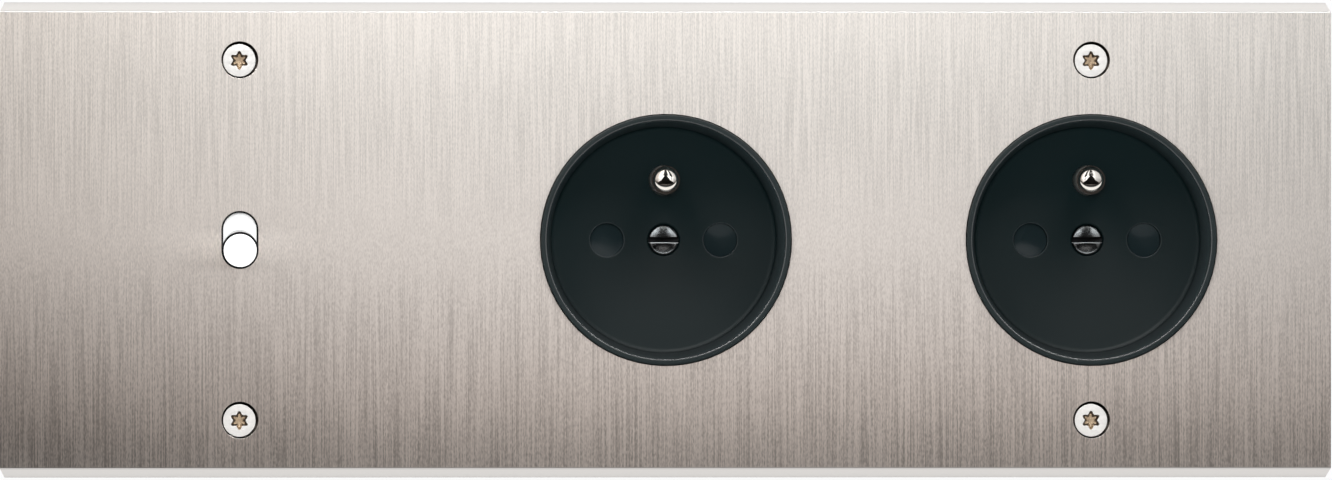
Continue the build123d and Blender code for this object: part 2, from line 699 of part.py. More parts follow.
def make_line_contact(x, hand, name, terminal):
    """Pair of leaves about a contact hole, with a foot in the cage. Hand is -1 at the left, 1 at the right."""
    pin_x = x + PIN_SPACING / 2
    leaf_z = LEAF_GAP / 2 + CONTACT_T / 2
    foot_z = -SOCKET_CAGE_Z + CAGE_HALF - CAGE_WALL - SEAT - CONTACT_T / 2
    y = Y_CHAMBER + MOVE + CONTACT_T / 2
    y_leaf = y + LEAF_LENGTH
    with BuildPart() as contact:
        points = [(y_leaf, -leaf_z), (y, -leaf_z), (y, foot_z), (terminal.y_back - CONTACT_T, foot_z)]
        bent_strip(pin_x, CONTACT_W, points, CONTACT_T)
        with BuildSketch(at(y_leaf)):
            with BuildLine():
                near = pin_x - CONTACT_W / 2
                web = pin_x + LEAF_OUT
                FilletPolyline((near, leaf_z), (web, leaf_z), (web, -leaf_z), (near, -leaf_z), radius=BEND_R)
            trace(line_width=CONTACT_T)
        extrude(amount=LEAF_LENGTH - 2 * CONTACT_T)
        if hand < 0:
            mirror(about=side(x), mode=Mode.REPLACE)
    save(contact, name)


def make_shutter(x, name):
    """Rotor with two wings: each carries a ramp that shuts a contact hole and a window that opens it."""
    y_hub = Y_SHUTTER - RAMP_H
    window = math.degrees(math.asin(SHUTTER_WINDOW_R / (PIN_SPACING / 2)))
    shut = math.degrees(math.asin(PIN_HOLE_R / (PIN_SPACING / 2)))
    start = -SHUTTER_TURN - window - SHUTTER_MARGIN
    size = shut + SHUTTER_MARGIN - start
    with BuildPart() as shutter:
        with BuildSketch(at(Y_SHUTTER_BACK, x)):
            for half_turn in (0, 180):
                sector(BOSS_R + RUN, SHUTTER_R, start + half_turn, size)
            Circle(HUB_R)
        extrude(amount=SHUTTER_T)
        with BuildSketch(at(Y_SHUTTER_BACK, x)):
            Circle(HUB_R)
        extrude(amount=Y_SHUTTER_BACK - y_hub)
        for hand in (1, -1):
            inner_x = PIN_SPACING / 2 - PIN_HOLE_R - COIL_WIRE_R / 2
            with BuildSketch(Plane(origin=(x + hand * inner_x, 0, 0), x_dir=(0, 1, 0), z_dir=(hand, 0, 0))):
                with BuildLine():
                    Polyline(
                        (Y_SHUTTER, -RAMP_HALF),
                        (y_hub, RAMP_HALF - RAMP_CREST),
                        (y_hub, RAMP_HALF),
                        (Y_SHUTTER, RAMP_HALF),
                        close=True,
                    )
                make_face()
            extrude(amount=2 * PIN_HOLE_R + COIL_WIRE_R)
        with BuildSketch(at(Y_SHUTTER_BACK, x)):
            with PolarLocations(PIN_SPACING / 2, 2, start_angle=-SHUTTER_TURN):
                Circle(SHUTTER_WINDOW_R)
            Circle(BOSS_R + RUN)
        extrude(amount=Y_SHUTTER_BACK - y_hub, mode=Mode.SUBTRACT)
    save(shutter, name)


def make_coil(name, origin, direction, radius, wire_r, turns, pitch):
    """Round-wire helical spring."""
    with BuildPart() as coil:
        with BuildLine():
            path = Helix(pitch, pitch * turns, radius, center=origin, direction=direction)
        with BuildSketch(Plane(origin=path @ 0, z_dir=path % 0)):
            Circle(wire_r)
        sweep(path=path, is_frenet=True)
    save(coil, name)


def make_centre_screw(x, name):
    """Slotted screw that holds the well to its base."""
    with BuildPart() as centre_screw:
        screw(
            at(Y_FLOOR + CENTRE_HEAD_T + HEAD_SUNK, x),
            CENTRE_HEAD_R,
            CENTRE_HEAD_T,
            CENTRE_SCREW_R,
            CENTRE_SCREW_LENGTH,
        )
    save(centre_screw, name)


for socket, socket_x in SOCKETS.items():
    terminals = socket_terminals(socket_x)
    make_strap(socket_x, f"{socket}_strap", socket_outline)
    make_well(socket_x, f"{socket}_well")
    make_socket_base(socket_x, f"{socket}_base", terminals)
    make_cover(f"{socket}_cover", socket_x, Y_COVER, BLOCK_W, BLOCK_W, BLOCK_CORNER_R, terminals)
    make_centre_screw(socket_x, f"{socket}_centre_screw")
    make_earth_pin(socket_x, f"{socket}_earth_pin")
    make_earth_strap(socket_x, f"{socket}_earth_strap", terminals[2])
    make_line_contact(socket_x, -1, f"{socket}_left_contact", terminals[0])
    make_line_contact(socket_x, 1, f"{socket}_right_contact", terminals[1])
    make_cages(terminals, f"{socket}_terminal_cages")
    make_clamps(terminals, f"{socket}_terminal_clamps")
    make_terminal_screws(terminals, f"{socket}_terminal_screws")
    make_shutter(socket_x, f"{socket}_shutter")
    coil_top = Y_SHUTTER - COIL_WIRE_R - COIL_GAP
    make_coil(
        f"{socket}_shutter_spring",
        (socket_x, coil_top, 0),
        (0, -1, 0),
        HUB_R + MOVE + COIL_WIRE_R,
        COIL_WIRE_R,
        COIL_TURNS,
        COIL_PITCH,
    )

# ================================================================ toggle switch
tilt = math.radians(LEVER_TILT)
lever_out = (0, -math.cos(tilt), -math.sin(tilt))
LEVER = Plane(origin=(SWITCH_X, Y_PIVOT, 0), x_dir=(1, 0, 0), z_dir=lever_out)
PIVOT_AXIS = Plane(origin=(SWITCH_X, Y_PIVOT, 0), x_dir=lever_out, z_dir=(1, 0, 0))
HUB_HALF_W = WINDOW_HALF_W - MOVE

with BuildPart() as lever_guide:
    liner_w = SLOT_W_IN + 2 * SLOT_LINER_T
    liner_h = SLOT_H_IN + 2 * SLOT_LINER_T
    with BuildSketch(at(Y_POCKET + GUIDE_FLANGE_T, SWITCH_X)):
        SlotOverall(liner_h + 2 * GUIDE_FLANGE_W, liner_w + 2 * GUIDE_FLANGE_W, rotation=90)
    extrude(amount=GUIDE_FLANGE_T)
    with BuildSketch(at(Y_POCKET, SWITCH_X)):
        SlotOverall(liner_h, liner_w, rotation=90)
    extrude(amount=FACE_T + LINER_PROUD)
    with BuildSketch(at(Y_POCKET + GUIDE_FLANGE_T, SWITCH_X)):
        SlotOverall(SLOT_H_IN, SLOT_W_IN, rotation=90)
    extrude(amount=FACE_T + GUIDE_FLANGE_T + LINER_PROUD, mode=Mode.SUBTRACT)
save(lever_guide, "lever_guide")

with BuildPart() as toggle_lever:
    with BuildSketch(LEVER):
        Circle(NECK_R)
    extrude(amount=LEVER_LENGTH - TIP_LENGTH)
    with BuildSketch(LEVER.offset(LEVER_LENGTH - TIP_LENGTH)):
        Circle(TIP_R)
    extrude(amount=TIP_LENGTH)
    tip_edge = toggle_lever.faces().sort_by(Axis.Y)[0].edges()
    fillet(tip_edge, TIP_EDGE)
    with BuildSketch(PIVOT_AXIS):
        Circle(LEVER_HUB_R)
    extrude(amount=HUB_HALF_W, both=True)
    with BuildSketch(LEVER.offset(-TAIL_LENGTH)):
        Rectangle(2 * TAIL_HALF, 2 * TAIL_HALF)
    extrude(amount=TAIL_LENGTH)
    with BuildSketch(LEVER.offset(-TAIL_LENGTH)):
        Circle(PLUNGER_R + RUN)
    extrude(amount=TAIL_LENGTH - PLUNGER_BORE_START, mode=Mode.SUBTRACT)
    with BuildSketch(PIVOT_AXIS):
        Circle(PIVOT_R + RUN)
    extrude(amount=HUB_HALF_W, both=True, mode=Mode.SUBTRACT)
save(toggle_lever, "toggle_lever")

with BuildPart() as lever_tip_band:
    with BuildSketch(LEVER.offset(LEVER_LENGTH - TIP_BAND_SETBACK)):
        Circle(TIP_R + TIP_BAND_T)
        Circle(TIP_R, mode=Mode.SUBTRACT)
    extrude(amount=-TIP_BAND_W)
save(lever_tip_band, "lever_tip_band")

with BuildPart() as lever_shield:
    with BuildSketch(PIVOT_AXIS):
        sector(SHIELD_R - SHIELD_T, SHIELD_R, -SHIELD_HALF_ANGLE, 2 * SHIELD_HALF_ANGLE)
    extrude(amount=SHIELD_HALF_W, both=True)
    with BuildSketch(LEVER):
        Circle(NECK_R + SEAT)
    extrude(amount=SHIELD_R, mode=Mode.SUBTRACT)
save(lever_shield, "lever_shield")

with BuildPart() as lever_pivot_pin:
    with BuildSketch(side(SWITCH_X)):
        with Locations((Y_PIVOT, 0)):
            Circle(PIVOT_R)
    extrude(amount=WINDOW_HALF_W + CHEEK_T, both=True)
save(lever_pivot_pin, "lever_pivot_pin")

with BuildPart() as detent_plunger:
    with BuildSketch(LEVER.offset(-PLUNGER_REACH + PLUNGER_R)):
        Circle(PLUNGER_R)
    extrude(amount=PLUNGER_LENGTH - PLUNGER_R)
    with Locations(LEVER.offset(-PLUNGER_REACH + PLUNGER_R)):
        Sphere(PLUNGER_R)
save(detent_plunger, "detent_plunger")

spring_room = PLUNGER_REACH - PLUNGER_LENGTH - PLUNGER_BORE_START - 2 * PLUNGER_WIRE_R - 2 * SEAT
spring_foot = LEVER.offset(-PLUNGER_BORE_START - PLUNGER_WIRE_R - SEAT)
make_coil(
    "plunger_spring",
    tuple(spring_foot.origin),
    tuple(-spring_foot.z_dir),
    PLUNGER_SPRING_R,
    PLUNGER_WIRE_R,
    PLUNGER_SPRING_TURNS,
    spring_room / PLUNGER_SPRING_TURNS,
)

rock = math.radians(ROCKER_TILT)
rocker_out = (0, -math.cos(rock), math.sin(rock))
ROCKER = Plane(origin=(SWITCH_X, Y_ROCKER_PIVOT, 0), x_dir=(1, 0, 0), z_dir=rocker_out)
ROCKER_AXIS = Plane(origin=(SWITCH_X, Y_ROCKER_PIVOT, 0), x_dir=rocker_out, z_dir=(1, 0, 0))
BLADE_BACK = ROCKER_PIVOT_BEHIND - ROCKER_T  # in front of the pivot
PAD_BACK = BLADE_BACK - PAD_T

with BuildPart() as contact_rocker:
    with BuildSketch(ROCKER.offset(BLADE_BACK)):
        RectangleRounded(2 * ROCKER_HALF_W, 2 * ROCKER_HALF_H, ROCKER_T)
    extrude(amount=ROCKER_T)
    with BuildSketch(ROCKER):
        Rectangle(2 * KNUCKLE_HALF_W, 2 * ROCKER_T)
    extrude(amount=BLADE_BACK)
    with BuildSketch(ROCKER_AXIS):
        Circle(KNUCKLE_R)
    extrude(amount=KNUCKLE_HALF_W, both=True)
    with BuildSketch(ROCKER_AXIS):
        Circle(ROCKER_PIVOT_R + RUN)
    extrude(amount=KNUCKLE_HALF_W, both=True, mode=Mode.SUBTRACT)
save(contact_rocker, "contact_rocker")

with BuildPart() as rocker_pads:
    with BuildSketch(ROCKER.offset(PAD_BACK)):
        with Locations((0, PAD_Z), (0, -PAD_Z)):
            Circle(PAD_R)
    extrude(amount=PAD_T)
save(rocker_pads, "rocker_pads")

fixed_z = PAD_Z * math.cos(rock) + PAD_BACK * math.sin(rock)
fixed_y = Y_ROCKER_PIVOT - PAD_BACK * math.cos(rock) + (PAD_Z + PAD_R) * math.sin(rock) + PAD_GAP

with BuildPart() as fixed_pads:
    with BuildSketch(at(fixed_y + PAD_T, SWITCH_X)):
        with Locations((0, fixed_z), (0, -fixed_z)):
            Circle(PAD_R)
    extrude(amount=PAD_T)
save(fixed_pads, "fixed_pads")

switch_back = SWITCH_DEPTH - SEAT
switch_terminals = [
    Terminal(SWITCH_X, SWITCH_CAGE_Z, (0, 0, 1), Y_SWITCH_CAGE, switch_back),
    Terminal(SWITCH_X, -SWITCH_CAGE_Z, (0, 0, -1), Y_SWITCH_CAGE, switch_back),
    Terminal(SWITCH_X + SWITCH_CAGE_X, 0, (1, 0, 0), Y_SWITCH_CAGE, switch_back),
]
strip_y = fixed_y + PAD_T + FIXED_T / 2
for half, sign in {"upper": 1, "lower": -1}.items():
    foot_z = SWITCH_CAGE_Z - CAGE_HALF + CAGE_WALL + SEAT + FIXED_T / 2
    with BuildPart() as fixed_contact:
        route = [(strip_y, fixed_z - FIXED_OVERLAP), (strip_y, foot_z), (switch_back - FIXED_T, foot_z)]
        bent_strip(SWITCH_X, CONTACT_W, [(y, sign * z) for y, z in route], FIXED_T)
    save(fixed_contact, f"{half}_fixed_contact")

foot_x = SWITCH_CAGE_X - CAGE_HALF + CAGE_WALL + SEAT + BRACKET_T / 2
ear_x = KNUCKLE_HALF_W + RUN

with BuildPart() as rocker_support:
    with BuildSketch(Plane(origin=(SWITCH_X, 0, -BRACKET_HALF_H), x_dir=(1, 0, 0), z_dir=(0, 0, 1))):
        with BuildLine():
            FilletPolyline(
                (-ear_x - BRACKET_T, Y_BRACKET + BRACKET_T / 2),
                (foot_x, Y_BRACKET + BRACKET_T / 2),
                (foot_x, switch_back - BRACKET_T),
                radius=BEND_R,
            )
        trace(line_width=BRACKET_T)
    extrude(amount=2 * BRACKET_HALF_H)
    with BuildSketch(at(Y_BRACKET + BRACKET_T / 2, SWITCH_X)):
        with Locations((-ear_x - BRACKET_T / 2, 0), (ear_x + BRACKET_T / 2, 0)):
            Rectangle(BRACKET_T, 2 * EAR_HALF_H)
    extrude(amount=Y_BRACKET + BRACKET_T / 2 - Y_ROCKER_PIVOT + EAR_FRONT)
    with BuildSketch(ROCKER_AXIS):
        Circle(ROCKER_PIVOT_R + SEAT)
    extrude(amount=ear_x + BRACKET_T, both=True, mode=Mode.SUBTRACT)
save(rocker_support, "rocker_support")

with BuildPart() as rocker_pin:
    with BuildSketch(ROCKER_AXIS):
        Circle(ROCKER_PIVOT_R)
    extrude(amount=ear_x + BRACKET_T + MOVE, both=True)
save(rocker_pin, "rocker_pin")

make_strap(SWITCH_X, "switch_strap", switch_outline)

with BuildPart() as switch_housing:
    with BuildSketch(at(SWITCH_DEPTH, SWITCH_X)):
        switch_outline(0)
        Rectangle(SWITCH_W - 2 * SWITCH_WALL, SWITCH_H - 2 * SWITCH_WALL, mode=Mode.SUBTRACT)
    extrude(amount=SWITCH_DEPTH - Y_FRAME)
    with BuildSketch(at(Y_FRAME, SWITCH_X)):
        switch_outline(0)
        Rectangle(2 * WINDOW_HALF_W, 2 * WINDOW_HALF_H, mode=Mode.SUBTRACT)
    extrude(amount=Y_FRAME - Y_FLANGE)
    with BuildSketch(at(Y_PIVOT + CHEEK_BACK, SWITCH_X)):
        with Locations(*[(s * (WINDOW_HALF_W + CHEEK_T / 2), 0) for s in (-1, 1)]):
            Rectangle(CHEEK_T, 2 * CHEEK_HALF_H)
    extrude(amount=Y_PIVOT + CHEEK_BACK - Y_FRAME)
    cage_ribs(switch_terminals)
    cover_posts(SWITCH_X, Y_SWITCH_CAGE, SWITCH_DEPTH, SWITCH_W, SWITCH_H)
    screw_access(switch_terminals)
    with BuildSketch(side(SWITCH_X)):
        with Locations((Y_PIVOT, 0)):
            Circle(PIVOT_R + SEAT)
    extrude(amount=WINDOW_HALF_W + CHEEK_T, both=True, mode=Mode.SUBTRACT)
save(switch_housing, "switch_housing")

strip_back = strip_y + FIXED_T / 2
pillar_low = fixed_z - FIXED_OVERLAP
pillar_high = SWITCH_CAGE_Z - CAGE_HALF - RIB_T
pillar_h = pillar_high - pillar_low
PILLARS = [
    (SWITCH_X, s * (pillar_low + pillar_h / 2), CONTACT_W, pillar_h, strip_back) for s in (-1, 1)
] + [(SWITCH_X, 0, 2 * (ear_x + BRACKET_T), 2 * BRACKET_HALF_H, Y_BRACKET + BRACKET_T)]
make_cover(
    "switch_cover", SWITCH_X, SWITCH_DEPTH, SWITCH_W, SWITCH_H, SWITCH_CORNER_R, switch_terminals, PILLARS
)
make_cages(switch_terminals, "switch_terminal_cages")
make_clamps(switch_terminals, "switch_terminal_clamps")
make_terminal_screws(switch_terminals, "switch_terminal_screws")
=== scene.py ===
import logging
import math
from collections.abc import Iterable, Sequence
from dataclasses import dataclass
from enum import Enum
from functools import cache

import bmesh
import bpy
from mathutils import Matrix, Vector
from mathutils.geometry import tessellate_polygon


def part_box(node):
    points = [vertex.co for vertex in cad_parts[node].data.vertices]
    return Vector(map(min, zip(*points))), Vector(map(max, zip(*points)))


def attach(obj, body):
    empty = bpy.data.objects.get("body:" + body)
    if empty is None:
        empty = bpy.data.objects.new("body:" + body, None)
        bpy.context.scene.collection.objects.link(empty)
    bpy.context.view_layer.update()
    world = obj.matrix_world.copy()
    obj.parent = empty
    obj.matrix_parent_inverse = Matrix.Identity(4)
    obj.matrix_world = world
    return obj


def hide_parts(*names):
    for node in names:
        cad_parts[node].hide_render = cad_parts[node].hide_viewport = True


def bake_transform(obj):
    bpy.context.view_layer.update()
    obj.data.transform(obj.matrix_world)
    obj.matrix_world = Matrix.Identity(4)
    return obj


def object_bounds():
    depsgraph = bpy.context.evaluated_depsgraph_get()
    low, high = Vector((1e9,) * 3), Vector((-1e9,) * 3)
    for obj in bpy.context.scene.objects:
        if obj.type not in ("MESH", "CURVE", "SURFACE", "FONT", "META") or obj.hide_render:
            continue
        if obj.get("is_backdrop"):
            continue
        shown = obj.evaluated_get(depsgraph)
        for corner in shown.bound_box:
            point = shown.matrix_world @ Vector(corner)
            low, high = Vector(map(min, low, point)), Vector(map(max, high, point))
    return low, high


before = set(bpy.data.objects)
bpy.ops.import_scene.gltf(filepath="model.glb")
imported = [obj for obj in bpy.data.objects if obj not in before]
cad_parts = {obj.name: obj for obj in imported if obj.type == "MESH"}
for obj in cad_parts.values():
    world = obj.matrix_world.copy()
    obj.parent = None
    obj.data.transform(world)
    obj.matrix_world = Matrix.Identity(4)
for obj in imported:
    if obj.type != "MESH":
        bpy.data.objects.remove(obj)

# Wall plate with a lever switch and two sockets with earth pins, dressed over its CAD model.
log = logging.getLogger("wall_plate")

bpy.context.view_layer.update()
MM = 0.001
MICRON = 0.000001
POLE = 0.1 * MICRON  # radius of a closed end, whose points weld into one
SOCKETS = ("centre_socket", "right_socket")

Point = tuple[float, float, float]
Pair = tuple[float, float]
Colour = tuple[float, float, float]
Profile = Sequence[Pair]
Value = bpy.types.NodeSocket


# ---------------------------------------------------------------- nodes
def put(node: bpy.types.Node, **values: object) -> None:
    """Set the properties of a node, or its inputs.

    Args:
        node: The node.
        **values: Its properties, or its inputs with blanks as underscores.
    """
    for key, value in values.items():
        if hasattr(node, key):
            setattr(node, key, value)
        else:
            node.inputs[key.replace("_", " ")].default_value = value


def shade(colour: Colour, factor: float) -> Colour:
    """A linear colour made darker or lighter, at most white."""
    return tuple(min(1.0, c * factor) for c in colour)


class Graph:
    """Small helper that adds and joins the nodes of one material, or of the room."""

    def __init__(self, owner: bpy.types.Material | bpy.types.World) -> None:
        """Start from the shader and the output that the owner comes with.

        Args:
            owner: The material or the world.
        """
        owner.use_nodes = True
        self.owner = owner
        self.tree = owner.node_tree
        self.shader = next(node for node in self.tree.nodes if node.outputs)
        self.out = next(node for node in self.tree.nodes if not node.outputs)
        self.coords = self.add("TexCoord")

    def add(self, kind: str, **values: object) -> bpy.types.Node:
        """Add a node.

        Args:
            kind: Type name of the node, without its ShaderNode prefix.
            **values: Its properties, or its inputs with blanks as underscores.

        Returns:
            The new node.
        """
        node = self.tree.nodes.new(f"ShaderNode{kind}")
        put(node, **values)
        return node

    def join(self, source: Value, target: Value) -> None:
        """Link two sockets."""
        self.tree.links.new(source, target)

    def part(self, name: str, space: str = "Object") -> Value:
        """One coordinate.

        Args:
            name: X, Y or Z.
            space: Kind of coordinates: those of the object are in metres.

        Returns:
            The socket with its value.
        """
        split = self.add("SeparateXYZ")
        self.join(self.coords.outputs[space], split.inputs["Vector"])
        return split.outputs[name]

    def noise(self, scale: Point | float, detail: float = 2.0, roughness: float = 0.5) -> Value:
        """Noise in object coordinates.

        Args:
            scale: Cells per metre, along each axis or along all of them.
            detail: Number of octaves.
            roughness: Share that each finer octave keeps.

        Returns:
            The socket with values from 0 to 1.
        """
        cells = self.add("Mapping", Scale=scale if isinstance(scale, tuple) else (scale,) * 3)
        node = self.add("TexNoise", Scale=1.0, Detail=detail, Roughness=roughness)
        self.join(self.coords.outputs["Object"], cells.inputs["Vector"])
        self.join(cells.outputs["Vector"], node.inputs["Vector"])
        return node.outputs["Fac"]

    def spread(self, value: Value, low: float, high: float, start: float = 0.3, end: float = 0.7) -> Value:
        """Map a range of values onto another.

        Args:
            value: Socket to map.
            low: Result at the start of the range and before it.
            high: Result at its end and after it.
            start: Start of the range. A noise seldom goes below 0.3.
            end: End of the range. A noise seldom goes above 0.7.

        Returns:
            The mapped socket.
        """
        node = self.add("MapRange", From_Min=start, From_Max=end, To_Min=low, To_Max=high)
        self.join(value, node.inputs["Value"])
        return node.outputs["Result"]

    def rise(self, value: Value, start: float, end: float) -> Value:
        """0 at the start of a range and 1 at its end, which may be the lower one."""
        return self.spread(value, 0.0, 1.0, start, end)

    def between(self, first: Value, second: Value, share: float) -> Value:
        """Mix of two values.

        Args:
            first: First value.
            second: Second value.
            share: Share of the second.

        Returns:
            The mixed value.
        """
        node = self.add("Mix", data_type="FLOAT", Factor=share)
        self.join(first, node.inputs["A"])
        self.join(second, node.inputs["B"])
        return node.outputs["Result"]

    def maths(self, operation: str, first: Value | float, second: Value | float = 0.0) -> Value:
        """Sum, product or another operation on values.

        Args:
            operation: Name of the operation.
            first: First value, a socket or a number.
            second: Second value.

        Returns:
            The socket with the result.
        """
        node = self.add("Math", operation=operation)
        for value, slot in zip((first, second), node.inputs):
            if isinstance(value, float):
                slot.default_value = value
            else:
                self.join(value, slot)
        return node.outputs["Value"]

    def away(self, value: Value, middle: float) -> Value:
        """How far a value is from a middle."""
        return self.maths("ABSOLUTE", self.maths("SUBTRACT", value, middle))

    def blend(self, value: Value, dark: Colour, light: Colour) -> None:
        """Run the base colour between two tones by a noise.

        Args:
            value: Socket with the noise.
            dark: Colour at its low end.
            light: Colour at its high end.
        """
        ramp = self.add("ValToRGB")
        for stop, place, colour in zip(ramp.color_ramp.elements, (0.3, 0.7), (dark, light)):
            stop.position = place
            stop.color = (*colour, 1)
        self.join(value, ramp.inputs["Fac"])
        self.join(ramp.outputs["Color"], self.shader.inputs["Base Color"])

    def ramp(self, value: Value, stops: Sequence[tuple[float, Colour]], peak: float = 1.0) -> Value:
        """Colours along a range of values.

        Args:
            value: Socket that runs through the range.
            stops: Value and colour of each stop, in rising order.
            peak: What the colours are divided by, as a ramp holds none above 1.

        Returns:
            The socket with the colour.
        """
        node = self.add("ValToRGB")
        elements = node.color_ramp.elements
        elements.remove(elements[1])
        low, high = stops[0][0], stops[-1][0]
        for i, (place, colour) in enumerate(stops):
            share = (place - low) / (high - low)
            stop = elements[0] if i == 0 else elements.new(share)
            stop.position = share
            stop.color = (*shade(colour, 1 / peak), 1)
        self.join(self.rise(value, low, high), node.inputs["Fac"])
        return node.outputs["Color"]

    def tint(self, colour: Value, other: Value) -> Value:
        """Colour multiplied by another colour or by a number.

        Args:
            colour: The colour.
            other: The other colour, or the number.

        Returns:
            The socket with the product.
        """
        node = self.add("VectorMath", operation="MULTIPLY")
        self.join(colour, node.inputs[0])
        self.join(other, node.inputs[1])
        return node.outputs["Vector"]

    def mix(self, factor: Value, target: Value, over: Colour | float) -> None:
        """Lay a constant over what already feeds a socket of the shader.

        Args:
            factor: How much of the constant shows.
            target: Socket of the shader.
            over: The constant, a colour or a number.
        """
        flat = isinstance(over, float)
        node = self.add("Mix", data_type="FLOAT" if flat else "RGBA")
        slots = [socket for socket in node.inputs if socket.enabled]
        result = next(socket for socket in node.outputs if socket.enabled)
        self.join(factor, slots[0])
        self.join(target.links[0].from_socket, slots[1])
        slots[2].default_value = over if flat else (*over, 1)
        self.join(result, target)

    def bump(self, height: Value, depth: float) -> None:
        """Give the surface its relief.

        Args:
            height: Socket with the height from 0 to 1.
            depth: Real depth of the relief in metres.
        """
        node = self.add("Bump", Distance=depth, Strength=1.0)
        self.join(height, node.inputs["Height"])
        self.join(node.outputs["Normal"], self.shader.inputs["Normal"])

    def glow(self, colour: Value | None = None, strength: float = 1.0) -> Value:
        """Surface that glows by itself.

        Args:
            colour: Its colour, or None for white.
            strength: Its strength.

        Returns:
            The socket of the shader.
        """
        node = self.add("Emission", Strength=strength)
        if colour is not None:
            self.join(colour, node.inputs["Color"])
        return node.outputs["Emission"]

    def layer(self, share: Value, under: Value, over: Value) -> Value:
        """One shader laid over another.

        Args:
            share: How much of the upper one shows.
            under: The lower one.
            over: The upper one.

        Returns:
            The socket of the mixed shader.
        """
        node = self.add("MixShader")
        for value, slot in zip((share, under, over), node.inputs):
            self.join(value, slot)
        return node.outputs["Shader"]


# ---------------------------------------------------------------- finishes
class Grain(Enum):
    """Which way the fine lines of a metal run."""

    UPRIGHT = "upright"
    ACROSS = "across"
    NONE = "none"


@dataclass(frozen=True)
class Finish:
    """Finish of a piece: each kind adds its own unevenness to one colour and one roughness."""

    name: str
    colour: Colour
    roughness: float

    @cache
    def material(self) -> bpy.types.Material:
        """Material of the finish, built once."""
        return self.graph().owner

    def graph(self) -> Graph:
        """New graph, which each kind of finish fills in."""
        return Graph(bpy.data.materials.new(self.name))

    def vary(self, graph: Graph, tone: Value, gloss: Value, tones: Pair, swing: float) -> None:
        """Run the colour between two shades, and the roughness a little up and down.

        Args:
            graph: Graph of the material.
            tone: Noise that runs the colour.
            gloss: Noise that runs the roughness.
            tones: What the colour is multiplied by at the low and the high end.
            swing: Share by which the roughness goes up and down.
        """
        graph.blend(tone, *(shade(self.colour, factor) for factor in tones))
        rough = graph.spread(gloss, self.roughness * (1 - swing), self.roughness * (1 + swing))
        graph.join(rough, graph.shader.inputs["Roughness"])


@dataclass(frozen=True)
class Metal(Finish):
    """Bare or plated metal with fine lines or small pits, and a cloudy tone.

    Attributes:
        grain: Which way its lines run. Without lines it has pits.
        line: Width of a fine line.
        length: Length of a fine line.
        depth: Depth of the lines or pits.
        contrast: How much the tone goes up and down.
        metallic: How much of a metal it looks.
        crisp: Half of the range of noise over which the dark shade turns into the light one.
        cloud: Share of the clouds in the tone.
        pit: Size of a pit.
    """

    grain: Grain = Grain.NONE
    line: float = 0.22 * MM
    length: float = 20 * MM
    depth: float = 2 * MICRON
    contrast: float = 0.08
    metallic: float = 1.0
    crisp: float = 0.2
    cloud: float = 0.3
    pit: float = 0.55 * MM

    def graph(self) -> Graph:
        """Join up the nodes.

        Returns:
            The graph of the material.
        """
        graph = super().graph()
        put(graph.shader, Metallic=self.metallic)
        clouds = graph.noise(60, detail=3)
        if self.grain is Grain.NONE:
            marks = graph.noise(1 / self.pit, detail=4, roughness=0.65)
        else:
            marks = self._lines(graph)
        mixed = graph.between(marks, clouds, self.cloud)
        clear = graph.spread(mixed, 0.3, 0.7, 0.5 - self.crisp, 0.5 + self.crisp)
        self.vary(graph, clear, mixed, (1 - self.contrast, 1 + self.contrast), 0.15)
        graph.bump(marks, self.depth)
        return graph

    def _lines(self, graph: Graph) -> Value:
        """Straight brush lines: long fine ones, short ones and a few broad ones.

        Args:
            graph: Graph of the material.

        Returns:
            Socket with the height of the lines.
        """
        across, along = 1 / self.line, 1 / self.length
        kinds = ((across, along), (across * 1.13, along * 25), (across / 6, along / 2))
        fine, short, broad = (
            graph.noise((a, a, b) if self.grain is Grain.UPRIGHT else (b, a, a), detail=0) for a, b in kinds
        )
        return graph.between(graph.between(fine, short, 0.42), broad, 0.03)


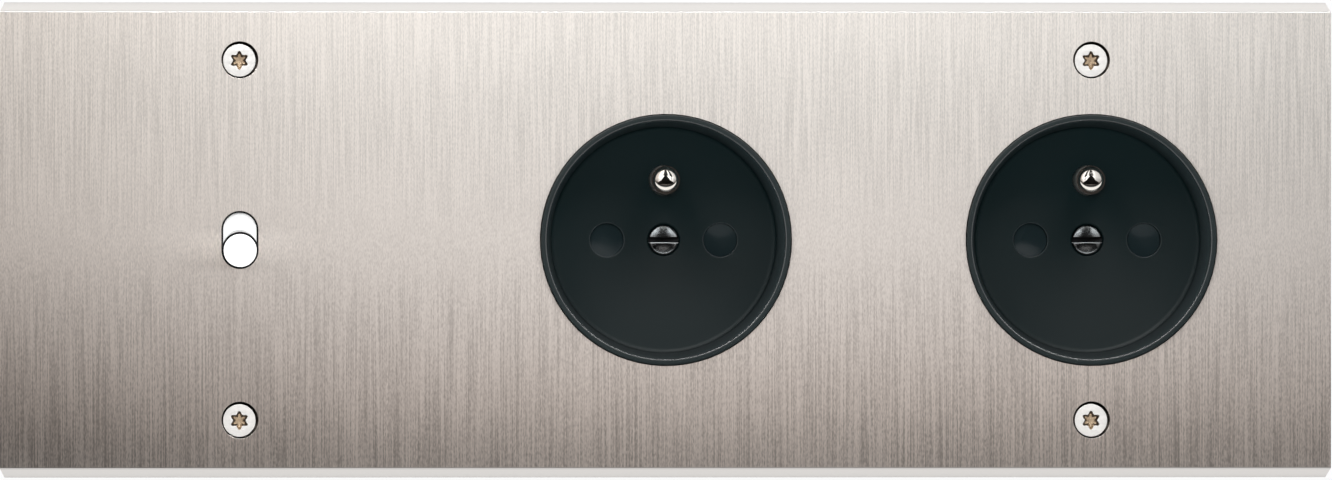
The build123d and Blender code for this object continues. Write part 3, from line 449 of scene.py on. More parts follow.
@dataclass(frozen=True)
class PlateMetal(Metal):
    """Brushed face with smooth bevels painted lighter than the face as painted light, a painted highlight
    along the arrises, and painted shade on the walls of its openings.

    Attributes:
        anisotropy: How far its highlights are drawn out across the lines.
        bevel: Colour of the bevels, painted lighter than the face: painted light.
        bevel_rough: Their roughness.
        rise: Height of a bevel.
        turn: Height over which the face turns into the bevel.
        arris_highlight: Colour of the edge between them, a painted highlight.
        arris_set: How far the middle of the arris is above the edge.
        arris_fade: How far from its middle the arris ends and is full.
        cut: Colour of the walls of the openings, a painted shade where shade falls.
        cut_rough: Their roughness.
        edge: Depth of the bright edge round an opening, in front and at the back.
        wall: Thickness of the plate.
        margin: How far below the bevel the painted shade of the openings begins and is full.
        scratch: Width and length of a short scratch.
        scratch_run: Length of a long scratch.
        scratched: Heights at which the scratches begin and are full.
        scratch_tones: Tone of the dark and the light ones, and the noise where each begins and is full.
    """

    anisotropy: float = 0.96
    bevel: Colour = (0.84, 0.81, 0.78)
    bevel_rough: float = 0.3
    rise: float = 1.6 * MM
    turn: float = 0.05 * MM
    arris_highlight: Colour = (0.72, 0.70, 0.675)
    arris_set: float = 0.04 * MM
    arris_fade: Pair = (0.24 * MM, 0.14 * MM)
    cut: Colour = (0.05, 0.042, 0.036)
    cut_rough: float = 0.55
    edge: float = 0.1 * MM
    wall: float = 2.0 * MM
    margin: Pair = (0.9 * MM, 1.0 * MM)
    scratch: Pair = (0.19 * MM, 0.6 * MM)
    scratch_run: float = 24 * MM
    scratched: Pair = (18 * MM, -32 * MM)
    scratch_tones: tuple[Point, ...] = ((0.66, 0.52, 0.7), (1.28, 0.48, 0.3))

    def graph(self) -> Graph:
        """Join up the nodes.

        Returns:
            The graph of the material.
        """
        graph = super().graph()
        put(graph.shader, Anisotropic=self.anisotropy)
        sideways = graph.add("CombineXYZ", X=1.0)
        graph.join(sideways.outputs["Vector"], graph.shader.inputs["Tangent"])
        self._scratches(graph)
        low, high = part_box("faceplate")
        colour, roughness = graph.shader.inputs["Base Color"], graph.shader.inputs["Roughness"]
        face = high.z - self.rise
        height, depth = graph.maths("ABSOLUTE", graph.part("Z")), graph.part("Y")
        slope = graph.rise(height, face, face + self.turn)
        arris_highlight = graph.rise(graph.away(height, face + self.arris_set), *self.arris_fade)
        # Mask of the painted shade on the walls of the openings.
        inside = graph.rise(depth, low.y + self.edge * 0.6, low.y + self.edge * 1.4)
        before_back = graph.rise(depth, low.y + self.wall, low.y + self.wall - self.edge)
        below_slope = graph.rise(height, *(face - margin for margin in self.margin))
        hole = graph.maths("MULTIPLY", graph.maths("MULTIPLY", inside, before_back), below_slope)
        # Painted light: the bevels are painted lighter, the arris is a painted highlight, and the walls of
        # the openings get painted shade. The smoother bevels and rougher walls are real.
        graph.mix(slope, colour, self.bevel)
        graph.mix(arris_highlight, colour, self.arris_highlight)
        graph.mix(slope, roughness, self.bevel_rough)
        graph.mix(hole, colour, self.cut)
        graph.mix(hole, roughness, self.cut_rough)
        return graph

    def _scratches(self, graph: Graph) -> None:
        """Dark and light scratches, stronger towards the bottom of the plate.

        Args:
            graph: Graph of the material.
        """
        across, along = (1 / size for size in self.scratch)
        short = graph.noise((across, across, along), detail=0)
        long = graph.noise((across, across, 1 / self.scratch_run), detail=0)
        marks = graph.between(short, long, 0.58)
        lower = graph.rise(graph.part("Z"), *self.scratched)
        for tone, clear, full in self.scratch_tones:
            marked = graph.maths("MULTIPLY", graph.rise(marks, clear, full), lower)
            graph.mix(marked, graph.shader.inputs["Base Color"], shade(self.colour, tone))


@dataclass(frozen=True)
class Moulding(Finish):
    """Moulded plastic with the fine grain of its tool, and flow clouds."""

    grain_size: float = 0.35 * MM
    depth: float = 12 * MICRON
    contrast: float = 0.12
    specular: float = 0.5

    def graph(self) -> Graph:
        """Join up the nodes.

        Returns:
            The graph of the material.
        """
        graph = super().graph()
        put(graph.shader, Specular_IOR_Level=self.specular)
        flow = graph.noise(45, detail=3)
        self.vary(graph, flow, flow, (1 - self.contrast, 1 + self.contrast), 0.12)
        graph.bump(graph.noise(1 / self.grain_size, detail=3, roughness=0.6), self.depth)
        return graph


@dataclass(frozen=True)
class WellMoulding(Moulding):
    """Moulding of the wells: a deep black floor, and a wall painted paler towards the lip as painted light.

    Attributes:
        painted_wall_light: Colour painted on the wall as painted light.
        mouth: Y where the wall begins, behind the lip.
        mouth_fade: Depth over which the painted light begins there.
        floor: Y of the floor.
        floor_fade: How far in front of the floor the painted light ends and is full.
    """

    painted_wall_light: Colour = (0.021, 0.033, 0.036)
    mouth: float = -4.9 * MM
    mouth_fade: float = 0.2 * MM
    floor: float = 9.1 * MM
    floor_fade: Pair = (0.4 * MM, 2.0 * MM)

    def graph(self) -> Graph:
        """Join up the nodes.

        Returns:
            The graph of the material.
        """
        graph = super().graph()
        depth = graph.part("Y")
        before_floor = graph.rise(depth, *(self.floor - fade for fade in self.floor_fade))
        behind_lip = graph.rise(depth, self.mouth, self.mouth + self.mouth_fade)
        wall = graph.maths("MULTIPLY", before_floor, behind_lip)
        # Painted light: the wall gets a paler colour than the floor.
        graph.mix(wall, graph.shader.inputs["Base Color"], self.painted_wall_light)
        return graph


@dataclass(frozen=True)
class Lacquer(Finish):
    """Sprayed lacquer: smooth, with a slight orange skin and a clear coat."""

    skin: float = 0.6 * MM
    depth: float = 6 * MICRON
    coat: float = 0.6
    coat_roughness: float = 0.08

    def graph(self) -> Graph:
        """Join up the nodes.

        Returns:
            The graph of the material.
        """
        graph = super().graph()
        put(graph.shader, Coat_Weight=self.coat, Coat_Roughness=self.coat_roughness)
        dust = graph.noise(300, detail=4)
        self.vary(graph, dust, dust, (0.97, 1.02), 0.1)
        graph.bump(graph.noise(1 / self.skin, detail=1), self.depth)
        return graph


def steel(
    name: str, colour: Colour, roughness: float, depth: float, contrast: float, **more: float
) -> Metal:
    """Metal with pits and no lines. Its depth is in microns, and the rest are fields of the metal."""
    return Metal(name, colour, roughness, depth=depth * MICRON, contrast=contrast, **more)


PLATE_METAL = PlateMetal(
    "brushed_plate",
    (0.74, 0.69, 0.645),
    0.36,
    Grain.UPRIGHT,
    line=0.19 * MM,
    length=12 * MM,
    depth=1 * MICRON,
    contrast=0.18,
    crisp=0.17,
    cloud=0.02,
)
SCREW_STEEL = steel("screw_steel", (0.49, 0.48, 0.465), 0.4, 4, 0.1, metallic=0.25)
# Bronze of the recess floor, also used as painted light on the lower arc of the recess walls.
RECESS_BRONZE_AND_PAINTED_LIGHT = steel("recess_bronze_and_painted_light", (0.42, 0.315, 0.21), 0.28, 40, 0.7, metallic=0.5, crisp=0.7)
# Painted shade on the walls of the screw recesses.
RECESS_PAINTED_SHADE = steel("painted_shade_recess_wall", (0.03, 0.018, 0.010), 0.45, 10, 0.3, metallic=0.2)
# Painted shade on the side of the screw heads, in the gap of their countersinks.
SCREW_SIDE_PAINTED_SHADE = steel("screw_side_painted_shade", (0.025, 0.013, 0.007), 0.6, 4, 0.2)
ZINC = steel("zinc_steel", (0.62, 0.63, 0.65), 0.38, 3, 0.12)
CENTRE_ZINC = steel("centre_zinc", (0.35, 0.37, 0.38), 0.16, 20, 0.75, crisp=0.7, pit=0.3 * MM)
# Painted highlight on the lower edge of the centre screws' slot.
SLOT_EDGE_PAINTED_HIGHLIGHT = steel("slot_edge_painted_highlight", (0.50, 0.52, 0.53), 0.5, 10, 0.8, crisp=0.8, pit=0.4 * MM)
# Painted shade in the slot of the centre screws.
SLOT_PAINTED_SHADE = steel("slot_painted_shade", (0.02, 0.021, 0.022), 0.5, 4, 0.2)
NICKEL = steel("nickel", (0.90, 0.86, 0.80), 0.08, 0.4, 0.04)
NICKEL_SHAFT = steel("nickel_shaft", (0.62, 0.60, 0.56), 0.3, 2, 0.1, metallic=0.84)
SILVER = steel("silver", (0.87, 0.86, 0.84), 0.22, 2, 0.06)
SPRING = steel("spring_steel", (0.50, 0.51, 0.53), 0.3, 2, 0.1)
TINNED = Metal("tinned_brass", (0.74, 0.73, 0.69), 0.34, Grain.ACROSS, 0.2 * MM, 6 * MM, contrast=0.1)
BRASS = Metal("brass", (0.80, 0.60, 0.27), 0.3, Grain.ACROSS, 0.2 * MM, 8 * MM, contrast=0.12)
COPPER = Metal("copper", (0.80, 0.44, 0.29), 0.3, Grain.ACROSS, 0.2 * MM, 8 * MM, contrast=0.12)
SOCKET_BLACK = WellMoulding(
    "socket_black", (0.0016, 0.006, 0.0067), 0.58, grain_size=0.3 * MM, depth=4 * MICRON, specular=0.2
)
# Glossier moulding on the front rims of the contact holes, painted a little lighter than the floor as a
# painted highlight.
HOLE_RIM_GLOSS_AND_PAINTED_HIGHLIGHT = Moulding("hole_rim_gloss_and_painted_highlight", (0.004, 0.0095, 0.011), 0.3, 0.3 * MM, 2 * MICRON, specular=0.8)
# Glossier moulding on the lip's inner rounding, painted lighter than the well as a painted highlight.
LIP_GLOSS_AND_PAINTED_HIGHLIGHT = Moulding("lip_gloss_and_painted_highlight", (0.014, 0.018, 0.019), 0.2, 0.3 * MM, 2 * MICRON, specular=1.0)
SHUTTER_BLACK = Moulding("shutter_black", (0.009, 0.0155, 0.0175), 0.3, 0.8 * MM, 2 * MICRON)
BASE_GREY = Moulding("base_moulding", (0.045, 0.047, 0.050), 0.55, 0.45 * MM, 20 * MICRON)
BLACK = Moulding("black_moulding", (0.002, 0.002, 0.0022), 0.6, 0.3 * MM, 4 * MICRON, specular=0.08)
LIGHT_GREY = Moulding("grey_moulding", (0.50, 0.51, 0.51), 0.5, 0.45 * MM, 20 * MICRON, 0.06)
NYLON = Moulding("plunger_nylon", (0.80, 0.78, 0.71), 0.4, 0.5 * MM, 5 * MICRON, 0.05)
CARD_BLACK = Moulding("card_black", (0.02, 0.018, 0.017), 0.9, specular=0.0)
WHITE = Lacquer("white_lacquer", (0.93, 0.93, 0.93), 0.35)


# ---------------------------------------------------------------- mesh building
def hang(name: str, data: bpy.types.ID) -> bpy.types.Object:
    """Put a mesh, a lamp or a camera into the scene.

    Args:
        name: Name of the object.
        data: Its data.

    Returns:
        The object.
    """
    piece = bpy.data.objects.new(name, data)
    bpy.context.collection.objects.link(piece)
    return piece


def around(centre: Pair, radius: float, turn: float, y: float) -> Point:
    """Point at a turn about an axis along Y."""
    return centre[0] + radius * math.cos(turn), y, centre[1] + radius * math.sin(turn)


def circle(radius: float, y: float, centre: Pair, steps: int) -> list[Point]:
    """Evenly spaced points of a circle about an axis along Y."""
    return [around(centre, radius, 2 * math.pi * i / steps, y) for i in range(steps)]


def rectangle(low: Pair, high: Pair) -> list[Pair]:
    """Corners of a rectangle, from two opposite ones."""
    return [low, (high[0], low[1]), high, (low[0], high[1])]


def sheet(name: str, outline: Sequence[Point]) -> bpy.types.Mesh:
    """Mesh of one flat face.

    Args:
        name: Its name.
        outline: Its corners.

    Returns:
        The mesh.
    """
    mesh = bpy.data.meshes.new(name)
    mesh.from_pydata(outline, [], [tuple(range(len(outline)))])
    return mesh


def eased(profile: Profile, radius: float, steps: int = 4) -> list[Pair]:
    """Round the inner corners of an open profile.

    Args:
        profile: Points of the profile.
        radius: Radius of the rounding, or less where a side is short.
        steps: Number of sides of each arc.

    Returns:
        The rounded profile.
    """
    made = [tuple(profile[0])]
    for before, corner, after in zip(profile, profile[1:], profile[2:]):
        p, c, n = Vector(before), Vector(corner), Vector(after)
        a, b = (p - c), (n - c)
        reach = min(radius, a.length * 0.45, b.length * 0.45)
        start, end = c + a.normalized() * reach, c + b.normalized() * reach
        for i in range(steps + 1):
            t = i / steps
            made.append(tuple(start * (1 - t) ** 2 + c * 2 * t * (1 - t) + end * t**2))
    return [*made, tuple(profile[-1])]


class Form:
    """Mesh made of rings of points, bridged, filled and turned. Lengths in metres."""

    sharp = math.radians(32)

    def __init__(self, name: str, look: Finish) -> None:
        """Start an empty form.

        Args:
            name: Name of the piece.
            look: Finish of the faces that come next, until another one is set.
        """
        self.name = name
        self.points: list[Point] = []
        self.faces: list[tuple[int, ...]] = []
        self.looks: list[Finish] = []
        self.look = look

    def ring(self, points: Iterable[Point]) -> list[int]:
        """Add a ring of points.

        Args:
            points: Points in order round the ring.

        Returns:
            Their numbers.
        """
        start = len(self.points)
        self.points += [tuple(p) for p in points]
        return list(range(start, len(self.points)))

    def face(self, corners: Sequence[int]) -> None:
        """Add a face in the look that is set."""
        self.faces.append(tuple(corners))
        self.looks.append(self.look)

    def bridge(self, a: list[int], b: list[int], closed: bool = True) -> None:
        """Join two rings of the same length with four-sided faces.

        Args:
            a: First ring.
            b: Second ring.
            closed: Whether the rings run right round.
        """
        for i in range(len(a) if closed else len(a) - 1):
            j = (i + 1) % len(a)
            self.face((a[i], a[j], b[j], b[i]))

    def chain(self, rings: Sequence[list[int]], closed: bool = True) -> None:
        """Bridge each ring to the next."""
        for a, b in zip(rings, rings[1:]):
            self.bridge(a, b, closed)

    def turn(self, profile: Profile, centre: Pair, steps: int) -> tuple[list[int], list[int]]:
        """Turn a profile of (radius, y) points about an axis along Y.

        Args:
            profile: Points of the profile. A radius of 0 closes the end.
            centre: X and Z of the axis.
            steps: Number of sides.

        Returns:
            The first and the last ring.
        """
        rings = [self.ring(circle(max(r, POLE), y, centre, steps)) for r, y in profile]
        self.chain(rings)
        return rings[0], rings[-1]

    def fill(self, outer: list[int], *holes: list[int]) -> None:
        """Fill a flat outline, leaving its holes open.

        Args:
            outer: Ring of the outline.
            *holes: Rings of the holes.
        """
        rings = [outer, *holes]
        order = [i for ring in rings for i in ring]
        loops = [[Vector(self.points[i]) for i in ring] for ring in rings]
        for corners in tessellate_polygon(loops):
            self.face([order[i] for i in corners])

    def build(self, body: str, slot: str, *stands_for: str) -> None:
        """Make the object, shade it and hang it on its body.

        Args:
            body: CAD body that it moves with.
            slot: Material slot of the record; not used.
            *stands_for: CAD nodes that it replaces.
        """
        mesh = bpy.data.meshes.new(self.name)
        mesh.from_pydata(self.points, [], self.faces)
        finishes = list(dict.fromkeys(self.looks))
        mesh.polygons.foreach_set("material_index", [finishes.index(look) for look in self.looks])
        shaped = bmesh.new()
        shaped.from_mesh(mesh)
        bmesh.ops.remove_doubles(shaped, verts=shaped.verts, dist=POLE)
        bmesh.ops.recalc_face_normals(shaped, faces=shaped.faces)
        shaped.to_mesh(mesh)
        shaped.free()
        mesh.polygons.foreach_set("use_smooth", [True] * len(mesh.polygons))
        mesh.set_sharp_from_angle(angle=self.sharp)
        piece = hang(self.name, mesh)
        for finish in finishes:
            mesh.materials.append(finish.material())
        weight = piece.modifiers.new("weighted_normals", "WEIGHTED_NORMAL")
        weight.keep_sharp = True
        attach(piece, body)
        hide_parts(*stands_for)
        log.info("%s: %d faces, on %s", self.name, len(mesh.polygons), body)


# ---------------------------------------------------------------- dressing
def dress(finish: Finish, *nodes: str) -> None:
    """Give CAD nodes their finish.

    Args:
        finish: The finish.
        *nodes: Names of the nodes.
    """
    for node in nodes:
        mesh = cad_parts[node].data
        mesh.materials.clear()
        mesh.materials.append(finish.material())
        log.info("%s: %s", node, finish.name)


def soften(width: float, *nodes: str) -> None:
    """Break the sharp edges of CAD nodes with modifiers.

    Args:
        width: Width of the broken edge.
        *nodes: Names of the nodes.
    """
    for node in nodes:
        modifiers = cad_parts[node].modifiers
        weld = modifiers.new("weld", "WELD")
        weld.merge_threshold = MICRON
        planar = modifiers.new("plain_faces", "DECIMATE")
        planar.decimate_type = "DISSOLVE"
        planar.angle_limit = math.radians(0.2)
        bevel = modifiers.new("broken_edges", "BEVEL")
        bevel.width = width
        bevel.segments = 2
        bevel.limit_method = "ANGLE"
        bevel.angle_limit = math.radians(40)
        weight = modifiers.new("weighted_normals", "WEIGHTED_NORMAL")
        weight.weight = 100


# ---------------------------------------------------------------- plate and its screws
@dataclass
class WallPlate:
    """Brushed plate as the CAD has it, with its long edges broken."""

    edge: float = 0.04 * MM

    def build(self) -> None:
        """Dress the plate and break its edges."""
        dress(PLATE_METAL, "faceplate")
        soften(self.edge, "faceplate")


@dataclass
class PlateScrews:
    """Four countersunk screws with six-lobe recesses and cut threads.

    Attributes:
        seat: From the outside of the screws' box to a screw's axis.
        head: Radius of the head.
        straight: Height of the head's straight side, above its cone.
        rim: Radius of the rounding round its top.
        waist: Radius of the shank before the thread.
        thread: Outer radius of the thread.
        thread_depth: Depth of the thread.
        thread_start: Y of its first turn.
        thread_sides: Number of sides of the shank.
        thread_rows: Rows of points in a turn of the thread.
        pitch: Pitch of the thread.
        point: Height and width of the chamfered end.
        lobe_tip: Radius of the recess at the tips of its lobes.
        lobe_root: Radius of the recess between the lobes.
        lobe_power: Above 1 it makes the lobes slimmer.
        lobes: Number of lobes.
        brim: Width of the broken edge round the recess.
        recess: Depth of the recess.
        taper: How much the recess narrows.
        bed: Radius of the bed in the recess.
        bed_depth: How deep the bed lies below the walls.
        drilled: How deep the drill's point goes below the walls.
        loose: How far the screws sit off the middle of their seats.
        painted_lit_turns: Where round the recess its wall gets painted light instead of painted shade, as
            shares of a turn.
        steps: Number of sides of the head.
    """

    seat: float = 2.85 * MM
    head: float = 2.71 * MM
    straight: float = 0.35 * MM
    rim: float = 0.1 * MM
    waist: float = 1.25 * MM
    thread: float = 1.5 * MM
    thread_depth: float = 0.24 * MM
    thread_start: float = 0.6 * MM
    thread_sides: int = 24
    thread_rows: int = 6
    pitch: float = 0.5 * MM
    point: float = 0.5 * MM
    lobe_tip: float = 1.52 * MM
    lobe_root: float = 1.02 * MM
    lobe_power: float = 1.25
    lobes: int = 6
    brim: float = 0.05 * MM
    recess: float = 1.3 * MM
    taper: float = 0.42 * MM
    bed: float = 0.714 * MM
    bed_depth: float = 0.1 * MM
    drilled: float = 0.35 * MM
    loose: Pair = (-0.09 * MM, -0.07 * MM)
    painted_lit_turns: Pair = (0.66, 0.84)
    steps: int = 96

    def build(self) -> None:
        """Build one piece with all four screws."""
        low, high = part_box("faceplate_screws")
        form = Form("plate_screws", SCREW_STEEL)
        for x in (low.x + self.seat, high.x - self.seat):
            for z in (low.z + self.seat, high.z - self.seat):
                axis = (x + self.loose[0], z + self.loose[1])
                self._head(form, axis, low.y)
                self._shank(form, axis, low.y, high.y)
        form.build("plate_assembly", "screw_steel", "faceplate_screws")

    def _lobes(self, centre: Pair, out: float, y: float) -> list[Point]:
        """Outline of the recess.

        Args:
            centre: X and Z of the screw.
            out: Offset outwards.
            y: Place along Y.

        Returns:
            Its points, one lobe up.
        """
        made = []
        for i in range(self.steps):
            turn = 2 * math.pi * i / self.steps
            wave = (0.5 + 0.5 * math.cos(self.lobes * (turn - math.pi / 2))) ** self.lobe_power
            radius = self.lobe_root + (self.lobe_tip - self.lobe_root) * wave + out
            made.append(around(centre, radius, turn, y))
        return made

    def _head(self, form: Form, centre: Pair, face: float) -> None:
        """Flat top with its recess and the rounded rim; the recess walls carry painted shade with painted
        light on one side, and the side under the rim carries painted shade.

        Args:
            form: Form that it goes into.
            centre: X and Z of the screw.
            face: Y of the top.
        """
        arc = [(math.sin(t), 1 - math.cos(t)) for t in (0, 0.4, 0.8, 1.2, math.pi / 2)]
        rim = [(self.head - self.rim * (1 - across), face + self.rim * down) for across, down in arc]
        top, _ = form.turn(rim, centre, self.steps)
        brim = ((self.brim, 0), (self.brim * 0.3, self.brim * 0.3), (0, self.brim))
        levels = (*brim, (-self.taper, self.recess))
        walls = [form.ring(self._lobes(centre, out, face + down)) for out, down in levels]
        form.fill(top, walls[0])
        # Painted shade on the recess walls, with painted light on the arc at their bottom, where light from
        # above falls.
        form.look = RECESS_PAINTED_SHADE
        start = len(form.looks)
        form.chain(walls)
        for i in range(start, len(form.looks)):
            if self.painted_lit_turns[0] < (i - start) % self.steps / self.steps < self.painted_lit_turns[1]:
                form.looks[i] = RECESS_BRONZE_AND_PAINTED_LIGHT
        form.look = RECESS_BRONZE_AND_PAINTED_LIGHT
        bottom = face + self.recess
        floor = form.ring(circle(self.bed, bottom + self.bed_depth, centre, self.steps))
        tip = form.ring(circle(POLE, bottom + self.drilled, centre, self.steps))
        form.chain([walls[-1], floor, tip])
        # Painted shade on the head's side and cone, in the countersink's gap.
        form.look = SCREW_SIDE_PAINTED_SHADE
        side = [rim[-1], (self.head, face + self.straight), (self.waist, self._cone(face))]
        form.turn(side, centre, self.steps)
        form.look = SCREW_STEEL

    def _cone(self, face: float) -> float:
        """Y where the cone under the head, of a right angle, meets the waist."""
        return face + self.straight + self.head - self.waist

    def _shank(self, form: Form, centre: Pair, face: float, end: float) -> None:
        """Waist, rolled thread and point.

        Args:
            form: Form that it goes into.
            centre: X and Z of the screw.
            face: Y of the top of the head.
            end: Y of the tip.
        """
        sides, per_turn = self.thread_sides, self.thread_rows
        start, stop = self.thread_start, end - self.point
        rows = int((stop - start) / self.pitch * per_turn)
        rings = [form.ring(circle(self.waist, y, centre, sides)) for y in (self._cone(face), start)]
        for row in range(rows + 1):
            y = start + (stop - start) * row / rows
            fade = min(1.0, row / per_turn, (rows - row) / per_turn)
            points = []
            for i in range(sides):
                phase = (y / self.pitch - i / sides) % 1.0
                cut = abs(2 * phase - 1) * self.thread_depth * fade
                radius = self.thread - cut - (1 - fade) * self.thread_depth * 0.5
                points.append(around(centre, radius, 2 * math.pi * i / sides, y))
            rings.append(form.ring(points))
        for radius in (self.thread - self.point, POLE):
            rings.append(form.ring(circle(radius, end, centre, sides)))
        form.chain(rings)


# ---------------------------------------------------------------- sockets
@dataclass
class Socket:
    """Black well with its earth pin, centre screw and shutter.

    Attributes:
        prefix: Name of the socket.
        lip: Width of the lip's crest with its roundings.
        lip_round: Radius of its outer edge.
        lip_edge: Radius of its inner edge.
        foot: Width of the wall's rear rim.
        floor_radius: Radius of the floor.
        floor_round: Radius between the floor and the wall.
        depth: From the crest of the lip to the floor.
        plate_face: Y where the wall starts to taper.
        spacing: Between the two contact holes.
        hole: Radius of a contact hole.
        hole_edge: Radius of its rims.
        earth_height: Height of the earth pin above the middle.
        earth_seat: Radius of the pin's hole in the floor.
        earth_step: Depth at which it widens for the collar.
        earth_collar: Radius of the hole behind the step.
        screw_seat: Radius of the centre screw's counterbore.
        screw_lead: Width of the counterbore's lead-in.
        screw_sunk: Depth of the counterbore.
        screw_hole: Radius of the screw's hole.
        small_round: Radius of the counterbore's edges.
        shutter_edge: Width of the shutter's broken edges.
        wall_sides: Number of sides of the wall.
        hole_sides: Number of sides of a hole.
        arc_sides: Number of sides of a rounding of the wall.
    """

    prefix: str
    lip: float = 0.95 * MM
    lip_round: float = 0.3 * MM
    lip_edge: float = 0.32 * MM
    foot: float = 0.6 * MM
    floor_radius: float = 18.9 * MM
    floor_round: float = 0.8 * MM
    depth: float = 15.0 * MM
    plate_face: float = -5.0 * MM
    spacing: float = 19.0 * MM
    hole: float = 2.8 * MM
    hole_edge: float = 0.16 * MM
    earth_height: float = 10.0 * MM
    earth_seat: float = 2.5 * MM
    earth_step: float = 2.2 * MM
    earth_collar: float = 2.75 * MM
    screw_seat: float = 2.75 * MM
    screw_lead: float = 0.3 * MM
    screw_sunk: float = 1.46 * MM
    screw_hole: float = 1.9 * MM
    small_round: float = 0.12 * MM
    shutter_edge: float = 0.08 * MM
    wall_sides: int = 192
    hole_sides: int = 64
    arc_sides: int = 6

    def __post_init__(self) -> None:
        """Read the well's place from the frame."""
        low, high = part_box(f"{self.prefix}_well")
        self.x = (low.x + high.x) / 2
        self.radius = (high.x - low.x) / 2
        self.crest = low.y
        self.floor = low.y + self.depth
        self.back = high.y

    def build(self) -> None:
        """Build the pieces that show from the room, and dress the rest."""
        self._well()
        EarthPin(self.prefix, (self.x, self.earth_height), self.floor).build()
        CentreScrew(self.prefix, (self.x, 0.0)).build()
        dress(SHUTTER_BLACK, f"{self.prefix}_shutter")
        soften(self.shutter_edge, f"{self.prefix}_shutter")
        dress(SPRING, f"{self.prefix}_shutter_spring")

    def _well(self) -> None:
        """Turned wall and lip, and a floor with softened holes."""
        form = Form(f"{self.prefix}_cup", SOCKET_BLACK)
        axis = (self.x, 0.0)
        mouth = self.radius - self.lip
        crown = (mouth + self.radius) / 2
        wall = [
            (self.floor_radius - 3 * self.floor_round, self.floor),
            (self.floor_radius, self.floor),
            (mouth, self.plate_face),
            (mouth, self.crest + 2 * self.lip_edge),
        ]
        rounding = eased([wall[-1], (mouth, self.crest), (crown, self.crest)], self.lip_edge, self.arc_sides)
        outside = [
            (crown, self.crest),
            (self.radius, self.crest),
            (self.radius, self.back),
            (self.radius - self.foot, self.back),
        ]
        front, _ = form.turn(eased(wall, self.floor_round, self.arc_sides), axis, self.wall_sides)
        # Painted highlight on the lip's inner rounding, which is also glossier.
        form.look = LIP_GLOSS_AND_PAINTED_HIGHLIGHT
        form.turn(rounding[:-1], axis, self.wall_sides)
        form.look = SOCKET_BLACK
        form.turn(rounding[-2:], axis, self.wall_sides)
        _, rear = form.turn(eased(outside, self.lip_round, self.arc_sides), axis, self.wall_sides)
        holes = [self._contact_hole(form, (self.x + side * self.spacing / 2, 0.0)) for side in (-1, 1)]
        bore = [
            (self.earth_seat, self.floor),
            (self.earth_seat, self.floor + self.earth_step),
            (self.earth_collar, self.floor + self.earth_step),
            (self.earth_collar, self.back),
        ]
        holes.append(form.turn(bore, (self.x, self.earth_height), self.hole_sides))
        seat = [
            (self.screw_seat + self.screw_lead, self.floor),
            (self.screw_seat, self.floor),
            (self.screw_seat, self.floor + self.screw_sunk),
            (self.screw_hole, self.floor + self.screw_sunk),
            (self.screw_hole, self.back),
        ]
        holes.append(form.turn(eased(seat, self.small_round), axis, self.hole_sides))
        form.fill(front, *[ring for ring, _ in holes])
        form.fill(rear, *[ring for _, ring in holes])
        form.build("plate_assembly", "socket_black", f"{self.prefix}_well")

    def _contact_hole(self, form: Form, centre: Pair) -> tuple[list[int], list[int]]:
        """Wall of a contact hole, with softened rims at both ends.

        Args:
            form: Form that it goes into.
            centre: X and Z of the hole.

        Returns:
            The rings in the front and in the back surface.
        """
        turns = (0, 0.39, 0.79, 1.18, math.pi / 2)
        arc = [(self.hole_edge * (1 - math.sin(t)), self.hole_edge * (1 - math.cos(t))) for t in turns]
        levels = [(out, self.floor + down) for out, down in arc]
        levels += [(out, self.back - down) for out, down in reversed(arc)]
        rings = [form.ring(circle(self.hole + out, y, centre, self.hole_sides)) for out, y in levels]
        # Painted highlight on the front rim of the hole, which is also glossier.
        form.look = HOLE_RIM_GLOSS_AND_PAINTED_HIGHLIGHT
        form.chain(rings[: len(arc)])
        form.look = SOCKET_BLACK
        form.chain(rings[len(arc) - 1 :])
        return rings[0], rings[-1]


@dataclass
class EarthPin:
    """Plated pin with a round tip, a collar and a riveted tail, standing in the floor of a socket.

    Attributes:
        prefix: Name of the socket.
        axis: X and Z of the pin.
        floor: Y of the floor.
        radius: Radius of the pin.
        dome: Height of the round tip.
        collar: Radius of the collar.
        collar_start: Depth of the collar behind the floor.
        neck: Radius of the neck behind the collar.
        neck_start: From the end of the tail to the collar.
        rivet: Radius of the rivet's head.
        rivet_height: Its height.
        edge: Radius of the edges.
        dome_steps: Number of steps of the round tip.
        sides: Number of sides.
    """

    prefix: str
    axis: Pair
    floor: float
    radius: float = 2.4 * MM
    dome: float = 1.95 * MM
    collar: float = 2.7 * MM
    collar_start: float = 2.3 * MM
    neck: float = 1.5 * MM
    neck_start: float = 1.7 * MM
    rivet: float = 2.3 * MM
    rivet_height: float = 0.7 * MM
    edge: float = 0.12 * MM
    dome_steps: int = 20
    sides: int = 72

    def build(self) -> None:
        """Build the pin."""
        node = f"{self.prefix}_earth_pin"
        low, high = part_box(node)
        turns = [math.pi / 2 * i / self.dome_steps for i in range(self.dome_steps + 1)]
        tip = [(self.radius * math.sin(t), low.y + self.dome * (1 - math.cos(t))) for t in turns]
        shaft = [
            tip[-1],
            (self.radius, self.floor + self.collar_start),
            (self.collar, self.floor + self.collar_start),
            (self.collar, high.y - self.neck_start),
            (self.neck, high.y - self.neck_start),
            (self.neck, high.y - self.rivet_height),
            (self.rivet, high.y - self.rivet_height),
            (self.rivet, high.y),
            (0, high.y),
        ]
        form = Form(f"{self.prefix}_pin", NICKEL)
        form.turn(tip, self.axis, self.sides)
        form.look = NICKEL_SHAFT
        form.turn(eased(shaft, self.edge), self.axis, self.sides)
        form.build("plate_assembly", "nickel", node)


